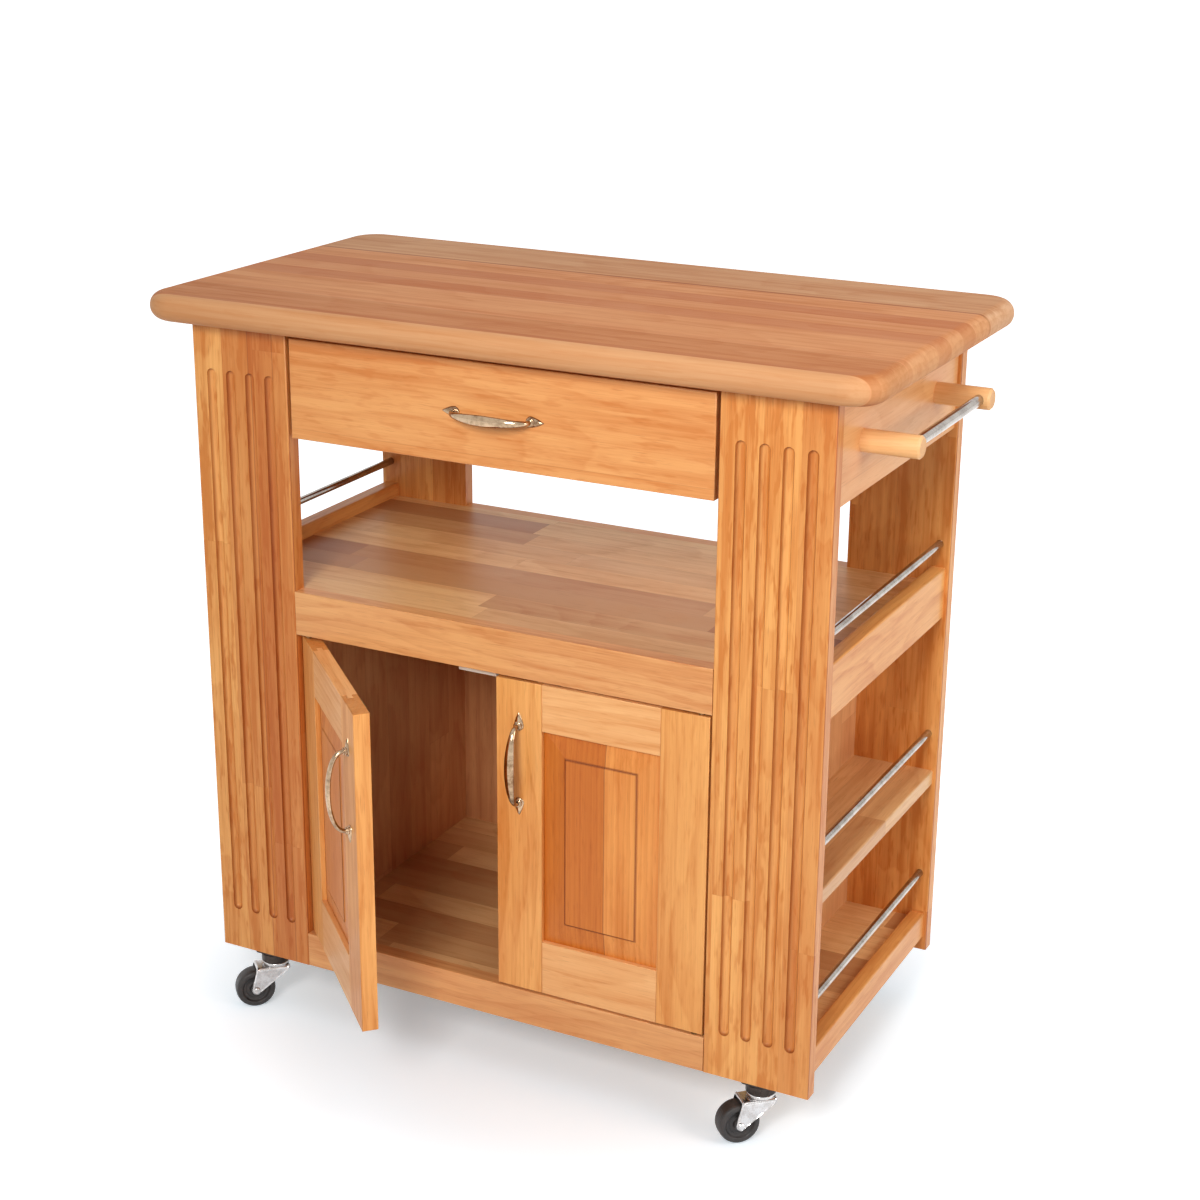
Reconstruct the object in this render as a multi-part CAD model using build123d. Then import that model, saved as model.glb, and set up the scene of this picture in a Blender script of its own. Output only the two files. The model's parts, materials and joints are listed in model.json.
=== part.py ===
from build123d import *
import math
import os

# A rolling kitchen island with a butcher block top: one full-width drawer, an open shelf
# that is open on all four sides, a two-door cabinet, three railed racks at each end, a round
# bar on two pegs at the right end and four swivel casters.
# Millimetres. +X is the width to the viewer's right, the front faces -Y, +Z is up. The
# origin is on the floor under the middle of the carcass.

# Worktop slab, the overall width and depth
TOP_WIDTH = 904.0
TOP_DEPTH = 490.0
TOP_THICK = 32.0
TOP_CORNER_RADIUS = 42.0
TOP_EDGE_FLAT = 1.0
TOP_PAST_ENDS = 52.0
TOP_PAST_FACES = 36.0

# Boards
BOARD = 19.0
EASE = 2.0
FINE_EASE = 1.0

# Fluted corner panels
PANEL_WIDTH = 130.0
PANEL_HEIGHT = 806.0
FLUTE_COUNT = 4
FLUTE_PITCH = 26.8
FLUTE_BALL_RADIUS = 6.5
FLUTE_DEPTH = 5.0
FLUTE_TOP_STOP = 55.0
FLUTE_BOTTOM_STOP = 53.0

# Levels, measured down from the underside of the worktop
DRAWER_FRONT_DROP = 8.0
DRAWER_FRONT_HEIGHT = 117.0
APRON_HEIGHT = 122.0
MID_SHELF_DROP = 312.0

# Levels, measured up from the shelf below
MID_LIP_RISE = 18.0
RACK_SHELF_RISE = 204.0
MID_ROD_RISE = 47.0
RACK_ROD_RISE = 48.0
BOTTOM_ROD_RISE = 62.0

# Rails, lips and their joints
MID_RAIL_HEIGHT = 54.0
MID_LIP_HEIGHT = 64.0
BOTTOM_RAIL_HEIGHT = 44.0
BOTTOM_LIP_HEIGHT = 34.0
BOTTOM_LIP_RISE = 7.0
END_RECESS = 5.0
TENON_LENGTH = 12.0
TENON_THICK = 8.0
TENON_SHOULDER = 8.0
MORTISE_END_GAP = 0.5
TONGUE_THICK = 6.0
TONGUE_INSET = 4.0
GROOVE_END_GAP = 0.5
DADO_DEPTH = 6.0

# Partitions, back and door stop
PARTITION_INSET = 2.0
BACK_THICK = 6.0
CLEAT_LENGTH = 160.0
CLEAT_DEPTH = 22.0

# Rods of the end racks
ROD_RADIUS = 4.75
ROD_FROM_END = 14.0
ROD_SOCKET_DEPTH = 10.0
FIT_GAP = 0.1
CUT_PAST = 1.0

# Side bar and its pegs
PEG_RADIUS = 12.7
PEG_REACH = 60.5
PEG_TENON_RADIUS = 8.0
PEG_TENON_LENGTH = 16.0
PEG_SPACING = 236.0
PEG_DROP = 63.0
PEG_END_BEVEL = 2.5
BAR_RADIUS = 6.3
BAR_FROM_TIP = 13.0
BAR_PAST_AXIS = 2.0

# Drawer
DRAWER_SIDE_GAP = 4.0
DRAWER_BOX_GAP = 3.0
DRAWER_BACK_GAP = 30.0
DRAWER_WALL = 12.0
DRAWER_WALL_HEIGHT = 88.0
DRAWER_WALL_RISE = 14.0
DRAWER_BOTTOM_THICK = 6.0
DRAWER_BOTTOM_RISE = 8.0
DRAWER_GROOVE_DEPTH = 5.0
TAIL_COUNT = 3
TAIL_WIDE = 20.0
TAIL_NARROW = 15.0
BEARER_HEIGHT = 110.0
RUNNER_HEIGHT = 16.0
RUNNER_IN_GROOVE = 5.0
RUNNER_RISE = 38.0
RUNNER_GAP = 0.5

# Doors
DOOR_GAP_HINGE = 2.0
DOOR_GAP_MEETING = 3.5
DOOR_GAP_RAIL = 3.0
STILE_WIDTH = 59.0
DOOR_TOP_RAIL = 57.0
DOOR_BOTTOM_RAIL = 67.0
DOOR_GROOVE_DEPTH = 9.5
DOOR_TENON_LENGTH = 9.0
PANEL_TONGUE = 8.0
PANEL_TONGUE_THICK = 6.0
PANEL_BEVEL = 29.0
PANEL_STEP = 1.4
PANEL_FIELD_SINK = 1.5
PANEL_GROOVE_GAP = 0.2
LEFT_DOOR_OPEN = 44.0

# Door pivots
PIVOT_FROM_EDGE = 12.0
PIVOT_FROM_FACE = 6.0
PIVOT_PIN_RADIUS = 2.0
PIVOT_PIN_LENGTH = 10.0
PIVOT_COLLAR_RADIUS = 3.4
PIVOT_COLLAR_THICK = 1.3
PIVOT_BUSH_RADIUS = 3.5
PIVOT_BUSH_LENGTH = 12.0
PIVOT_FLANGE_RADIUS = 4.2
PIVOT_FLANGE_THICK = 1.3
PIVOT_PLAY = 0.08
WOOD_BEHIND_BUSH = 2.5

# Magnetic catches and their strike plates
CATCH_LENGTH = 50.0
CATCH_FROM_CENTRE = 10.0
CATCH_HEIGHT = 13.0
CATCH_DEPTH = 15.0
CATCH_POLE = 1.2
CATCH_POLE_LENGTH = 26.0
CATCH_POLE_THICK = 1.5
CATCH_POLE_GAP = 3.0
STRIKE_LENGTH = 30.0
STRIKE_HEIGHT = 12.0
STRIKE_THICK = 1.4
STRIKE_FROM_TOP = 1.0
CATCH_AIR = 0.4

# Bow pulls
PULL_CENTRES = 96.0
PULL_FOOT_REACH = 16.0
PULL_REACH = 27.0
PULL_FOOT_THICK = 3.0
PULL_FOOT_HEEL = 6.4
PULL_FOOT_TIP = 1.8
PULL_COLLAR_RADIUS = 5.0
PULL_COLLAR_THICK = 3.0
PULL_NECK_WIDE = 3.2
PULL_NECK_THICK = 3.0
PULL_BELLY_WIDE = 6.4
PULL_BELLY_THICK = 2.8
PULL_FULLNESS = 0.8
PULL_SECTIONS = 9
DOOR_PULL_DROP = 102.0

# Casters
CASTER_FROM_END = 65.0
CASTER_FROM_FACE = 20.0
CASTER_HEADING = -136.0
CASTER_TRAIL = 28.0
WHEEL_RADIUS = 25.0
WHEEL_HALF = 11.0
WHEEL_HUB_HALF = 11.6
WHEEL_HUB_RADIUS = 7.5
WHEEL_RIM_SLOPE = 1.5
WHEEL_WEB_HALF = 7.5
WHEEL_RIM_INNER = 18.0
WHEEL_TREAD_FALL = 2.0
WHEEL_TREAD_SIDE = 5.0
AXLE_RADIUS = 3.0
AXLE_HEAD_RADIUS = 4.6
AXLE_HEAD_THICK = 2.0
AXLE_HEAD_BEVEL = 1.0
AXLE_PLAY = 0.1
FORK_SHEET = 2.4
FORK_BEND = 4.0
FORK_WHEEL_GAP = 0.8
FORK_WHEEL_TOP_GAP = 2.2
FORK_EYE_RADIUS = 6.0
FORK_BRIDGE_THICK = 3.4
FORK_TOP_ROUND = 3.0
FORK_TOP_BACK = -13.0
FORK_TOP_FRONT = 24.0
CROWN_RADIUS = 17.0
CROWN_HEIGHT = 5.4
CROWN_LAP = 1.2
KINGPIN_RADIUS = 4.0
KINGPIN_PLAY = 0.1
KINGPIN_HEAD_RADIUS = 6.5
KINGPIN_HEAD_THICK = 1.4
SWIVEL_PLAY = 0.3
PLATE_SIDE = 38.0
PLATE_THICK = 2.5
PLATE_CORNER = 5.0
PLATE_HOLE_RADIUS = 2.3
PLATE_HOLE_INSET = 5.5
RACE_RADIUS = 18.0
RACE_HEIGHT = 12.2
RACE_BEVEL = 2.5
BLOCK_INSET = 2.0
BLOCK_DEPTH = 86.0

# Places worked out from the sizes above
HALF_W = TOP_WIDTH / 2 - TOP_PAST_ENDS
HALF_D = TOP_DEPTH / 2 - TOP_PAST_FACES
INNER_Y = HALF_D - BOARD
OPENING_X = HALF_W - PANEL_WIDTH
BRIDGE_UNDER = 2 * WHEEL_RADIUS + FORK_WHEEL_TOP_GAP
BRIDGE_TOP = BRIDGE_UNDER + FORK_BRIDGE_THICK
CROWN_TOP = BRIDGE_TOP + CROWN_HEIGHT
RACE_BOTTOM = CROWN_TOP + SWIVEL_PLAY
PLATE_BOTTOM = RACE_BOTTOM + RACE_HEIGHT
PANEL_BOTTOM = PLATE_BOTTOM + PLATE_THICK
PANEL_TOP = PANEL_BOTTOM + PANEL_HEIGHT
MID_SHELF_TOP = PANEL_TOP - MID_SHELF_DROP
MID_SHELF_UNDER = MID_SHELF_TOP - BOARD
MID_RAIL_UNDER = MID_SHELF_TOP - MID_RAIL_HEIGHT
BOTTOM_SHELF_TOP = PANEL_BOTTOM + BOTTOM_RAIL_HEIGHT
BOTTOM_SHELF_UNDER = BOTTOM_SHELF_TOP - BOARD
RACK_SHELF_TOP = BOTTOM_SHELF_TOP + RACK_SHELF_RISE
ROD_ZS = (
    MID_SHELF_TOP + MID_ROD_RISE,
    RACK_SHELF_TOP + RACK_ROD_RISE,
    BOTTOM_SHELF_TOP + BOTTOM_ROD_RISE,
)
TONGUE_DEPTH = BOARD - PIVOT_FROM_FACE - PIVOT_BUSH_RADIUS - WOOD_BEHIND_BUSH
END_OUT = HALF_W - END_RECESS
END_IN = END_OUT - BOARD
PARTITION_IN = OPENING_X + PARTITION_INSET
PARTITION_OUT = PARTITION_IN + BOARD
DRAWER_FRONT_TOP = PANEL_TOP - DRAWER_FRONT_DROP
DRAWER_FRONT_BOTTOM = DRAWER_FRONT_TOP - DRAWER_FRONT_HEIGHT
DRAWER_WALL_BOTTOM = DRAWER_FRONT_BOTTOM + DRAWER_WALL_RISE
DRAWER_OUT_X = PARTITION_IN - DRAWER_BOX_GAP
DRAWER_IN_X = DRAWER_OUT_X - DRAWER_WALL
DRAWER_BACK_Y = INNER_Y - DRAWER_BACK_GAP
RUNNER_BOTTOM = DRAWER_WALL_BOTTOM + RUNNER_RISE
DOOR_BOTTOM = BOTTOM_SHELF_TOP + DOOR_GAP_RAIL
DOOR_TOP = MID_RAIL_UNDER - DOOR_GAP_RAIL
DOOR_IN_X = DOOR_GAP_MEETING / 2
DOOR_OUT_X = OPENING_X - DOOR_GAP_HINGE
PIVOT_X = DOOR_OUT_X - PIVOT_FROM_EDGE
PIVOT_Y = PIVOT_FROM_FACE - HALF_D
CASTER_X = HALF_W - CASTER_FROM_END
CASTER_Y = HALF_D - CASTER_FROM_FACE
FORK_IN = WHEEL_HUB_HALF + FORK_WHEEL_GAP
FORK_OUT = FORK_IN + FORK_SHEET
PEG_X = HALF_W + PEG_REACH - BAR_FROM_TIP
PEG_Z = PANEL_TOP - PEG_DROP


def block(xs, ys, zs):
    """A board given by its low and high X, Y and Z."""
    size = [abs(b - a) for a, b in (xs, ys, zs)]
    centre = [(a + b) / 2 for a, b in (xs, ys, zs)]
    return Pos(*centre) * Box(*size)


def rod(start, end, radius):
    """A round bar from one point to another, along X, Y or Z."""
    a = Vector(*start)
    b = Vector(*end)
    plane = Plane(origin=a, z_dir=(b - a).normalized())
    return extrude(plane * Circle(radius), (b - a).length)


def mirror_x(shape):
    """The same piece on the other end of the island."""
    return mirror(shape, about=Plane.YZ)


def mirror_y(shape):
    """The same piece on the other face of the island."""
    return mirror(shape, about=Plane.XZ)


def edges_on(shape, axis, *tests):
    """The straight edges along an axis whose middle passes every test (axis, value)."""
    found = shape.edges().filter_by(axis)
    for which, value in tests:
        found = [e for e in found if abs(getattr(e.center(), which) - value) < 0.01]
    return found


def ease(shape, edges, radius=EASE):
    """Rounds the given edges, as a router does along a board."""
    return fillet(edges, radius)


def ring(shape, axis, radius=EASE):
    """Rounds the four long edges of a plain board that runs along an axis."""
    return fillet(shape.edges().filter_by(axis), radius)


# Worktop

def make_worktop():
    """A thick slab with round plan corners and a full bullnose all the way round."""
    plan = RectangleRounded(TOP_WIDTH, TOP_DEPTH, TOP_CORNER_RADIUS)
    slab = Pos(0, 0, PANEL_TOP) * extrude(plan, TOP_THICK)
    layers = slab.edges().group_by(Axis.Z)
    nose = (TOP_THICK - TOP_EDGE_FLAT) / 2
    return fillet(layers[0] + layers[-1], nose)


# Fluted corner panels

def flute(x):
    """The cut of a ball-nosed bit that is run down the face and stopped at both ends."""
    y = FLUTE_DEPTH - FLUTE_BALL_RADIUS - HALF_D
    low = PANEL_BOTTOM + FLUTE_BOTTOM_STOP + FLUTE_BALL_RADIUS
    high = PANEL_TOP - FLUTE_TOP_STOP - FLUTE_BALL_RADIUS
    cut = rod((x, y, low), (x, y, high), FLUTE_BALL_RADIUS)
    for z in (low, high):
        cut += Pos(x, y, z) * Sphere(FLUTE_BALL_RADIUS)
    return cut


def mortise(rail_zs):
    """The socket in a panel's inner edge for the tenon of a rail at these heights."""
    low = rail_zs[0] + TENON_SHOULDER
    high = rail_zs[1] - TENON_SHOULDER
    middle = BOARD / 2 - HALF_D
    return block(
        (OPENING_X, OPENING_X + TENON_LENGTH + MORTISE_END_GAP),
        (middle - TENON_THICK / 2, middle + TENON_THICK / 2),
        (low, high),
    )


def rod_socket(z):
    """The blind hole in a panel's back for the end of a rack rod."""
    x = HALF_W - ROD_FROM_END
    return rod((x, -INNER_Y, z), (x, -INNER_Y - ROD_SOCKET_DEPTH, z), ROD_RADIUS + FIT_GAP)


def make_panel(rails):
    """The front right panel; the other three are its mirror images."""
    panel = block((OPENING_X, HALF_W), (-HALF_D, -INNER_Y), (PANEL_BOTTOM, PANEL_TOP))
    fronts = edges_on(panel, Axis.Z, ("Y", -HALF_D))
    backs = edges_on(panel, Axis.Z, ("Y", -INNER_Y), ("X", HALF_W))
    panel = ease(panel, fronts + backs)
    centre = (OPENING_X + HALF_W) / 2
    for i in range(FLUTE_COUNT):
        panel -= flute(centre + (i - (FLUTE_COUNT - 1) / 2) * FLUTE_PITCH)
    for zs in rails:
        panel -= mortise(zs)
    for z in ROD_ZS:
        panel -= rod_socket(z)
    return panel


MID_RAIL_ZS = (MID_RAIL_UNDER, MID_SHELF_TOP)
BOTTOM_RAIL_ZS = (PANEL_BOTTOM, BOTTOM_SHELF_TOP)
APRON_ZS = (PANEL_TOP - APRON_HEIGHT, PANEL_TOP)


# Rails between the panels

def shelf_groove(shelf_top):
    """The slot along a front rail's back that takes a shelf's tongue."""
    middle = shelf_top - BOARD / 2
    reach = OPENING_X - TONGUE_INSET + GROOVE_END_GAP
    return block(
        (-reach, reach),
        (-INNER_Y - TONGUE_DEPTH - GROOVE_END_GAP, -INNER_Y),
        (middle - TONGUE_THICK / 2, middle + TONGUE_THICK / 2),
    )


def make_front_rail(zs):
    """A rail in the front plane with a stub tenon at each end."""
    rail = block((-OPENING_X, OPENING_X), (-HALF_D, -INNER_Y), zs)
    rail = ease(rail, edges_on(rail, Axis.X, ("Y", -HALF_D)), FINE_EASE)
    middle = BOARD / 2 - HALF_D
    reach = OPENING_X + TENON_LENGTH
    rail += block(
        (-reach, reach),
        (middle - TENON_THICK / 2, middle + TENON_THICK / 2),
        (zs[0] + TENON_SHOULDER, zs[1] - TENON_SHOULDER),
    )
    return rail


def pivot_hole(x, z, up):
    """The hole in a rail for a pivot bush, bored up or down from its edge."""
    return rod((x, PIVOT_Y, z), (x, PIVOT_Y, z + up * PIVOT_BUSH_LENGTH), PIVOT_BUSH_RADIUS)


def make_mid_front_rail():
    rail = make_front_rail(MID_RAIL_ZS) - shelf_groove(MID_SHELF_TOP)
    for x in (-PIVOT_X, PIVOT_X):
        rail -= pivot_hole(x, MID_RAIL_UNDER, 1)
    return rail


def make_bottom_front_rail():
    rail = make_front_rail(BOTTOM_RAIL_ZS) - shelf_groove(BOTTOM_SHELF_TOP)
    for x in (-PIVOT_X, PIVOT_X):
        rail -= pivot_hole(x, BOTTOM_SHELF_TOP, -1)
    return rail


# Shelves, lips, partitions and aprons

def make_long_shelf(top, dado_low, dado_high):
    """A shelf the full length of the island, tongued into its rails and end lips."""
    zs = (top - BOARD, top)
    shelf = block((-END_IN, END_IN), (-INNER_Y, INNER_Y), zs)
    middle = top - BOARD / 2
    tongue_zs = (middle - TONGUE_THICK / 2, middle + TONGUE_THICK / 2)
    across = OPENING_X - TONGUE_INSET
    shelf += block(
        (-across, across), (-INNER_Y - TONGUE_DEPTH, INNER_Y + TONGUE_DEPTH), tongue_zs
    )
    along = INNER_Y - TONGUE_INSET
    shelf += block((-END_IN - TONGUE_DEPTH, END_IN + TONGUE_DEPTH), (-along, along), tongue_zs)
    for side in (-1, 1):
        xs = sorted((side * PARTITION_IN, side * PARTITION_OUT))
        shelf -= block(xs, (-INNER_Y, INNER_Y), (dado_low, dado_high))
    return shelf


def make_end_lip(zs, shelf_top):
    """The right end board that closes a shelf's end and stands above it as a lip."""
    lip = ring(block((END_IN, END_OUT), (-INNER_Y, INNER_Y), zs), Axis.Y, EASE)
    middle = shelf_top - BOARD / 2
    along = INNER_Y - TONGUE_INSET + GROOVE_END_GAP
    groove = block(
        (END_IN, END_IN + TONGUE_DEPTH + GROOVE_END_GAP),
        (-along, along),
        (middle - TONGUE_THICK / 2, middle + TONGUE_THICK / 2),
    )
    return lip - groove


def make_partition():
    """The right cabinet wall, housed in both shelves and grooved for the rack shelf."""
    wall = block(
        (PARTITION_IN, PARTITION_OUT),
        (-INNER_Y, INNER_Y),
        (BOTTOM_SHELF_TOP - DADO_DEPTH, MID_SHELF_UNDER + DADO_DEPTH),
    )
    dado = block(
        (PARTITION_OUT - DADO_DEPTH, PARTITION_OUT),
        (-INNER_Y, INNER_Y),
        (RACK_SHELF_TOP - BOARD, RACK_SHELF_TOP),
    )
    return wall - dado


def make_rack_shelf():
    """The right middle rack shelf."""
    shelf = block(
        (PARTITION_OUT - DADO_DEPTH, END_OUT),
        (-INNER_Y, INNER_Y),
        (RACK_SHELF_TOP - BOARD, RACK_SHELF_TOP),
    )
    return ease(shelf, edges_on(shelf, Axis.Y, ("X", END_OUT)))


def make_end_apron():
    """The right end board at the drawer's height."""
    apron = block((END_IN, END_OUT), (-INNER_Y, INNER_Y), APRON_ZS)
    return ease(apron, edges_on(apron, Axis.Y, ("Z", APRON_ZS[0])))


def make_right_apron():
    """The right end board is bored for the tenons of the two side bar pegs."""
    apron = make_end_apron()
    for y in (-PEG_SPACING / 2, PEG_SPACING / 2):
        start = (END_OUT - PEG_TENON_LENGTH, y, PEG_Z)
        apron -= rod(start, (END_OUT, y, PEG_Z), PEG_TENON_RADIUS + FIT_GAP)
    return apron


def make_back():
    """A thin panel that closes the cabinet's back between the partitions."""
    return block(
        (-PARTITION_IN, PARTITION_IN),
        (INNER_Y - BACK_THICK, INNER_Y),
        (BOTTOM_SHELF_TOP, MID_SHELF_UNDER),
    )


def make_catch_cleat():
    """The block behind the mid rail that carries the catches."""
    cleat = block(
        (-CLEAT_LENGTH / 2, CLEAT_LENGTH / 2),
        (-INNER_Y, CLEAT_DEPTH - INNER_Y),
        (MID_RAIL_UNDER, MID_SHELF_UNDER),
    )
    return ease(cleat, edges_on(cleat, Axis.X, ("Z", MID_RAIL_UNDER), ("Y", CLEAT_DEPTH - INNER_Y)))


# Rods and side bar

def make_rods():
    """Three rods across each end, with their ends in the panels' sockets."""
    reach = INNER_Y + ROD_SOCKET_DEPTH - GROOVE_END_GAP
    rods = []
    for side in (-1, 1):
        x = side * (HALF_W - ROD_FROM_END)
        for z in ROD_ZS:
            rods.append(rod((x, -reach, z), (x, reach, z), ROD_RADIUS))
    return rods


def make_peg(side):
    """A turned peg with a tenon for the apron and a cross hole for the bar."""
    tip = HALF_W + PEG_REACH
    y = side * PEG_SPACING / 2
    body = rod((END_OUT, y, PEG_Z), (tip, y, PEG_Z), PEG_RADIUS)
    body = chamfer(body.edges().group_by(Axis.X)[-1], PEG_END_BEVEL)
    body += rod((END_OUT - PEG_TENON_LENGTH + FIT_GAP, y, PEG_Z), (END_OUT, y, PEG_Z), PEG_TENON_RADIUS)
    deep = y + side * (BAR_PAST_AXIS + GROOVE_END_GAP)
    mouth = y - side * (PEG_RADIUS + CUT_PAST)
    return body - rod((PEG_X, mouth, PEG_Z), (PEG_X, deep, PEG_Z), BAR_RADIUS + FIT_GAP)


def make_side_bar():
    reach = PEG_SPACING / 2 + BAR_PAST_AXIS
    return rod((PEG_X, -reach, PEG_Z), (PEG_X, reach, PEG_Z), BAR_RADIUS)


# Drawer

def make_drawer_front():
    """The drawer's face board, inset between the front panels."""
    half = OPENING_X - DRAWER_SIDE_GAP
    face = block((-half, half), (-HALF_D, -INNER_Y), (DRAWER_FRONT_BOTTOM, DRAWER_FRONT_TOP))
    return fillet(face.faces().sort_by(Axis.Y)[0].edges(), EASE)


def tail(z, y_outer, y_inner):
    """One dovetail of a drawer side: wide at the end of the board, narrow at its root."""
    points = [
        (y_outer, z - TAIL_WIDE / 2),
        (y_outer, z + TAIL_WIDE / 2),
        (y_inner, z + TAIL_NARROW / 2),
        (y_inner, z - TAIL_NARROW / 2),
    ]
    plane = Plane(origin=(DRAWER_IN_X, 0, 0), x_dir=(0, 1, 0), z_dir=(1, 0, 0))
    return extrude(plane * make_face(Polyline(*points, close=True)), DRAWER_WALL)


def make_drawer_side():
    """The right side of the box, with its tails, its bottom groove and its runner groove."""
    top = DRAWER_WALL_BOTTOM + DRAWER_WALL_HEIGHT
    front = -INNER_Y
    zs = (DRAWER_WALL_BOTTOM, top)
    xs = (DRAWER_IN_X, DRAWER_OUT_X)
    side = block(xs, (front + DRAWER_WALL, DRAWER_BACK_Y - DRAWER_WALL), zs)
    step = DRAWER_WALL_HEIGHT / TAIL_COUNT
    for i in range(TAIL_COUNT):
        z = DRAWER_WALL_BOTTOM + (i + 0.5) * step
        side += tail(z, front, front + DRAWER_WALL)
        side += tail(z, DRAWER_BACK_Y, DRAWER_BACK_Y - DRAWER_WALL)
    groove_x = DRAWER_OUT_X - RUNNER_IN_GROOVE - RUNNER_GAP
    side -= block(
        (groove_x, DRAWER_OUT_X),
        (front + DRAWER_WALL + RUNNER_GAP, DRAWER_BACK_Y),
        (RUNNER_BOTTOM - RUNNER_GAP, RUNNER_BOTTOM + RUNNER_HEIGHT + RUNNER_GAP),
    )
    return side - drawer_bottom_board()


def drawer_bottom_board():
    """The bottom panel, let into a groove all round the box."""
    half = DRAWER_IN_X + DRAWER_GROOVE_DEPTH
    z = DRAWER_WALL_BOTTOM + DRAWER_BOTTOM_RISE
    return block(
        (-half, half),
        (DRAWER_WALL - DRAWER_GROOVE_DEPTH - INNER_Y, DRAWER_BACK_Y - DRAWER_WALL + DRAWER_GROOVE_DEPTH),
        (z, z + DRAWER_BOTTOM_THICK),
    )


def make_drawer_cross(front, sides):
    """A cross board of the box with the pins that the sides' tails leave."""
    y = -INNER_Y if front else DRAWER_BACK_Y - DRAWER_WALL
    board = block(
        (-DRAWER_OUT_X, DRAWER_OUT_X),
        (y, y + DRAWER_WALL),
        (DRAWER_WALL_BOTTOM, DRAWER_WALL_BOTTOM + DRAWER_WALL_HEIGHT),
    )
    for side in sides:
        board -= side
    if not front:
        for side in (-1, 1):
            xs = sorted((side * (DRAWER_OUT_X - RUNNER_IN_GROOVE - RUNNER_GAP), side * DRAWER_OUT_X))
            zs = (RUNNER_BOTTOM - RUNNER_GAP, RUNNER_BOTTOM + RUNNER_HEIGHT + RUNNER_GAP)
            board -= block(xs, (y, y + DRAWER_WALL), zs)
    return board - drawer_bottom_board()


def make_bearers():
    """The two boards inside the top frame that carry the runners."""
    right = block(
        (PARTITION_IN, PARTITION_OUT), (-INNER_Y, INNER_Y), (PANEL_TOP - BEARER_HEIGHT, PANEL_TOP)
    )
    return [mirror_x(right), right]


def make_runners():
    """The two strips that the drawer's grooved sides slide on."""
    right = block(
        (DRAWER_OUT_X - RUNNER_IN_GROOVE, PARTITION_IN),
        (DRAWER_WALL + 2 * RUNNER_GAP - INNER_Y, INNER_Y),
        (RUNNER_BOTTOM, RUNNER_BOTTOM + RUNNER_HEIGHT),
    )
    return [mirror_x(right), right]


# Doors, made closed on the right and then mirrored or swung

def door_board(xs, zs):
    """A frame board of the door with its face edges eased."""
    board = block(xs, (-HALF_D, -INNER_Y), zs)
    return fillet(board.faces().sort_by(Axis.Y)[0].edges(), FINE_EASE)


def door_groove(xs, zs):
    """The slot that runs round the inside of the door frame."""
    middle = BOARD / 2 - HALF_D
    half = PANEL_TONGUE_THICK / 2 + PANEL_GROOVE_GAP
    return block(xs, (middle - half, middle + half), zs)


def door_stile(inner_x, outer_x, groove_side):
    """A stile; its groove opens towards the panel."""
    edge = inner_x if groove_side < 0 else outer_x
    xs = sorted((edge, edge - groove_side * DOOR_GROOVE_DEPTH))
    return door_board((inner_x, outer_x), (DOOR_BOTTOM, DOOR_TOP)) - door_groove(xs, (DOOR_BOTTOM, DOOR_TOP))


def door_rail(zs, groove_zs):
    """A rail with a tongue at each end that fills the stiles' groove."""
    xs = (DOOR_IN_X + STILE_WIDTH, DOOR_OUT_X - STILE_WIDTH)
    rail = door_board(xs, zs)
    middle = BOARD / 2 - HALF_D
    reach = (xs[0] - DOOR_TENON_LENGTH, xs[1] + DOOR_TENON_LENGTH)
    half = PANEL_TONGUE_THICK / 2
    rail += block(reach, (middle - half, middle + half), zs)
    return rail - door_groove((reach[0] - CUT_PAST, reach[1] + CUT_PAST), groove_zs)


def raised_panel():
    """The panel: a field, a step, four bevels down to a tongue, and a flat back."""
    x0 = DOOR_IN_X + STILE_WIDTH
    x1 = DOOR_OUT_X - STILE_WIDTH
    z0 = DOOR_BOTTOM + DOOR_BOTTOM_RAIL
    z1 = DOOR_TOP - DOOR_TOP_RAIL
    middle = BOARD / 2 - HALF_D
    tongue_front = middle - PANEL_TONGUE_THICK / 2
    tongue_back = middle + PANEL_TONGUE_THICK / 2
    field_y = PANEL_FIELD_SINK - HALF_D
    panel = block(
        (x0 - PANEL_TONGUE, x1 + PANEL_TONGUE),
        (tongue_front, tongue_back),
        (z0 - PANEL_TONGUE, z1 + PANEL_TONGUE),
    )
    centre = ((x0 + x1) / 2, (z0 + z1) / 2)
    wide = (x1 - x0 - 2 * PANEL_GROOVE_GAP, z1 - z0 - 2 * PANEL_GROOVE_GAP)
    field = (x1 - x0 - 2 * PANEL_BEVEL, z1 - z0 - 2 * PANEL_BEVEL)
    base = Plane(origin=(centre[0], tongue_front, centre[1]), x_dir=(1, 0, 0), z_dir=(0, -1, 0))
    rise = tongue_front - field_y - PANEL_STEP
    sections = [base * Rectangle(*wide), base.offset(rise) * Rectangle(*field)]
    panel += loft(sections, ruled=True)
    panel += extrude(base.offset(rise) * Rectangle(*field), PANEL_STEP)
    return panel


def pivot_pins():
    """The two steel pins with collars at the top and bottom of the hinge stile."""
    pins = []
    for z, up in ((DOOR_TOP, 1), (DOOR_BOTTOM, -1)):
        tail_end = z - up * PIVOT_PIN_LENGTH
        head_end = z + up * (DOOR_GAP_RAIL + PIVOT_PIN_LENGTH)
        pin = rod((PIVOT_X, PIVOT_Y, tail_end), (PIVOT_X, PIVOT_Y, head_end), PIVOT_PIN_RADIUS)
        collar_end = z + up * PIVOT_COLLAR_THICK
        pin += rod((PIVOT_X, PIVOT_Y, z), (PIVOT_X, PIVOT_Y, collar_end), PIVOT_COLLAR_RADIUS)
        pins.append(pin)
    return pins


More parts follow.
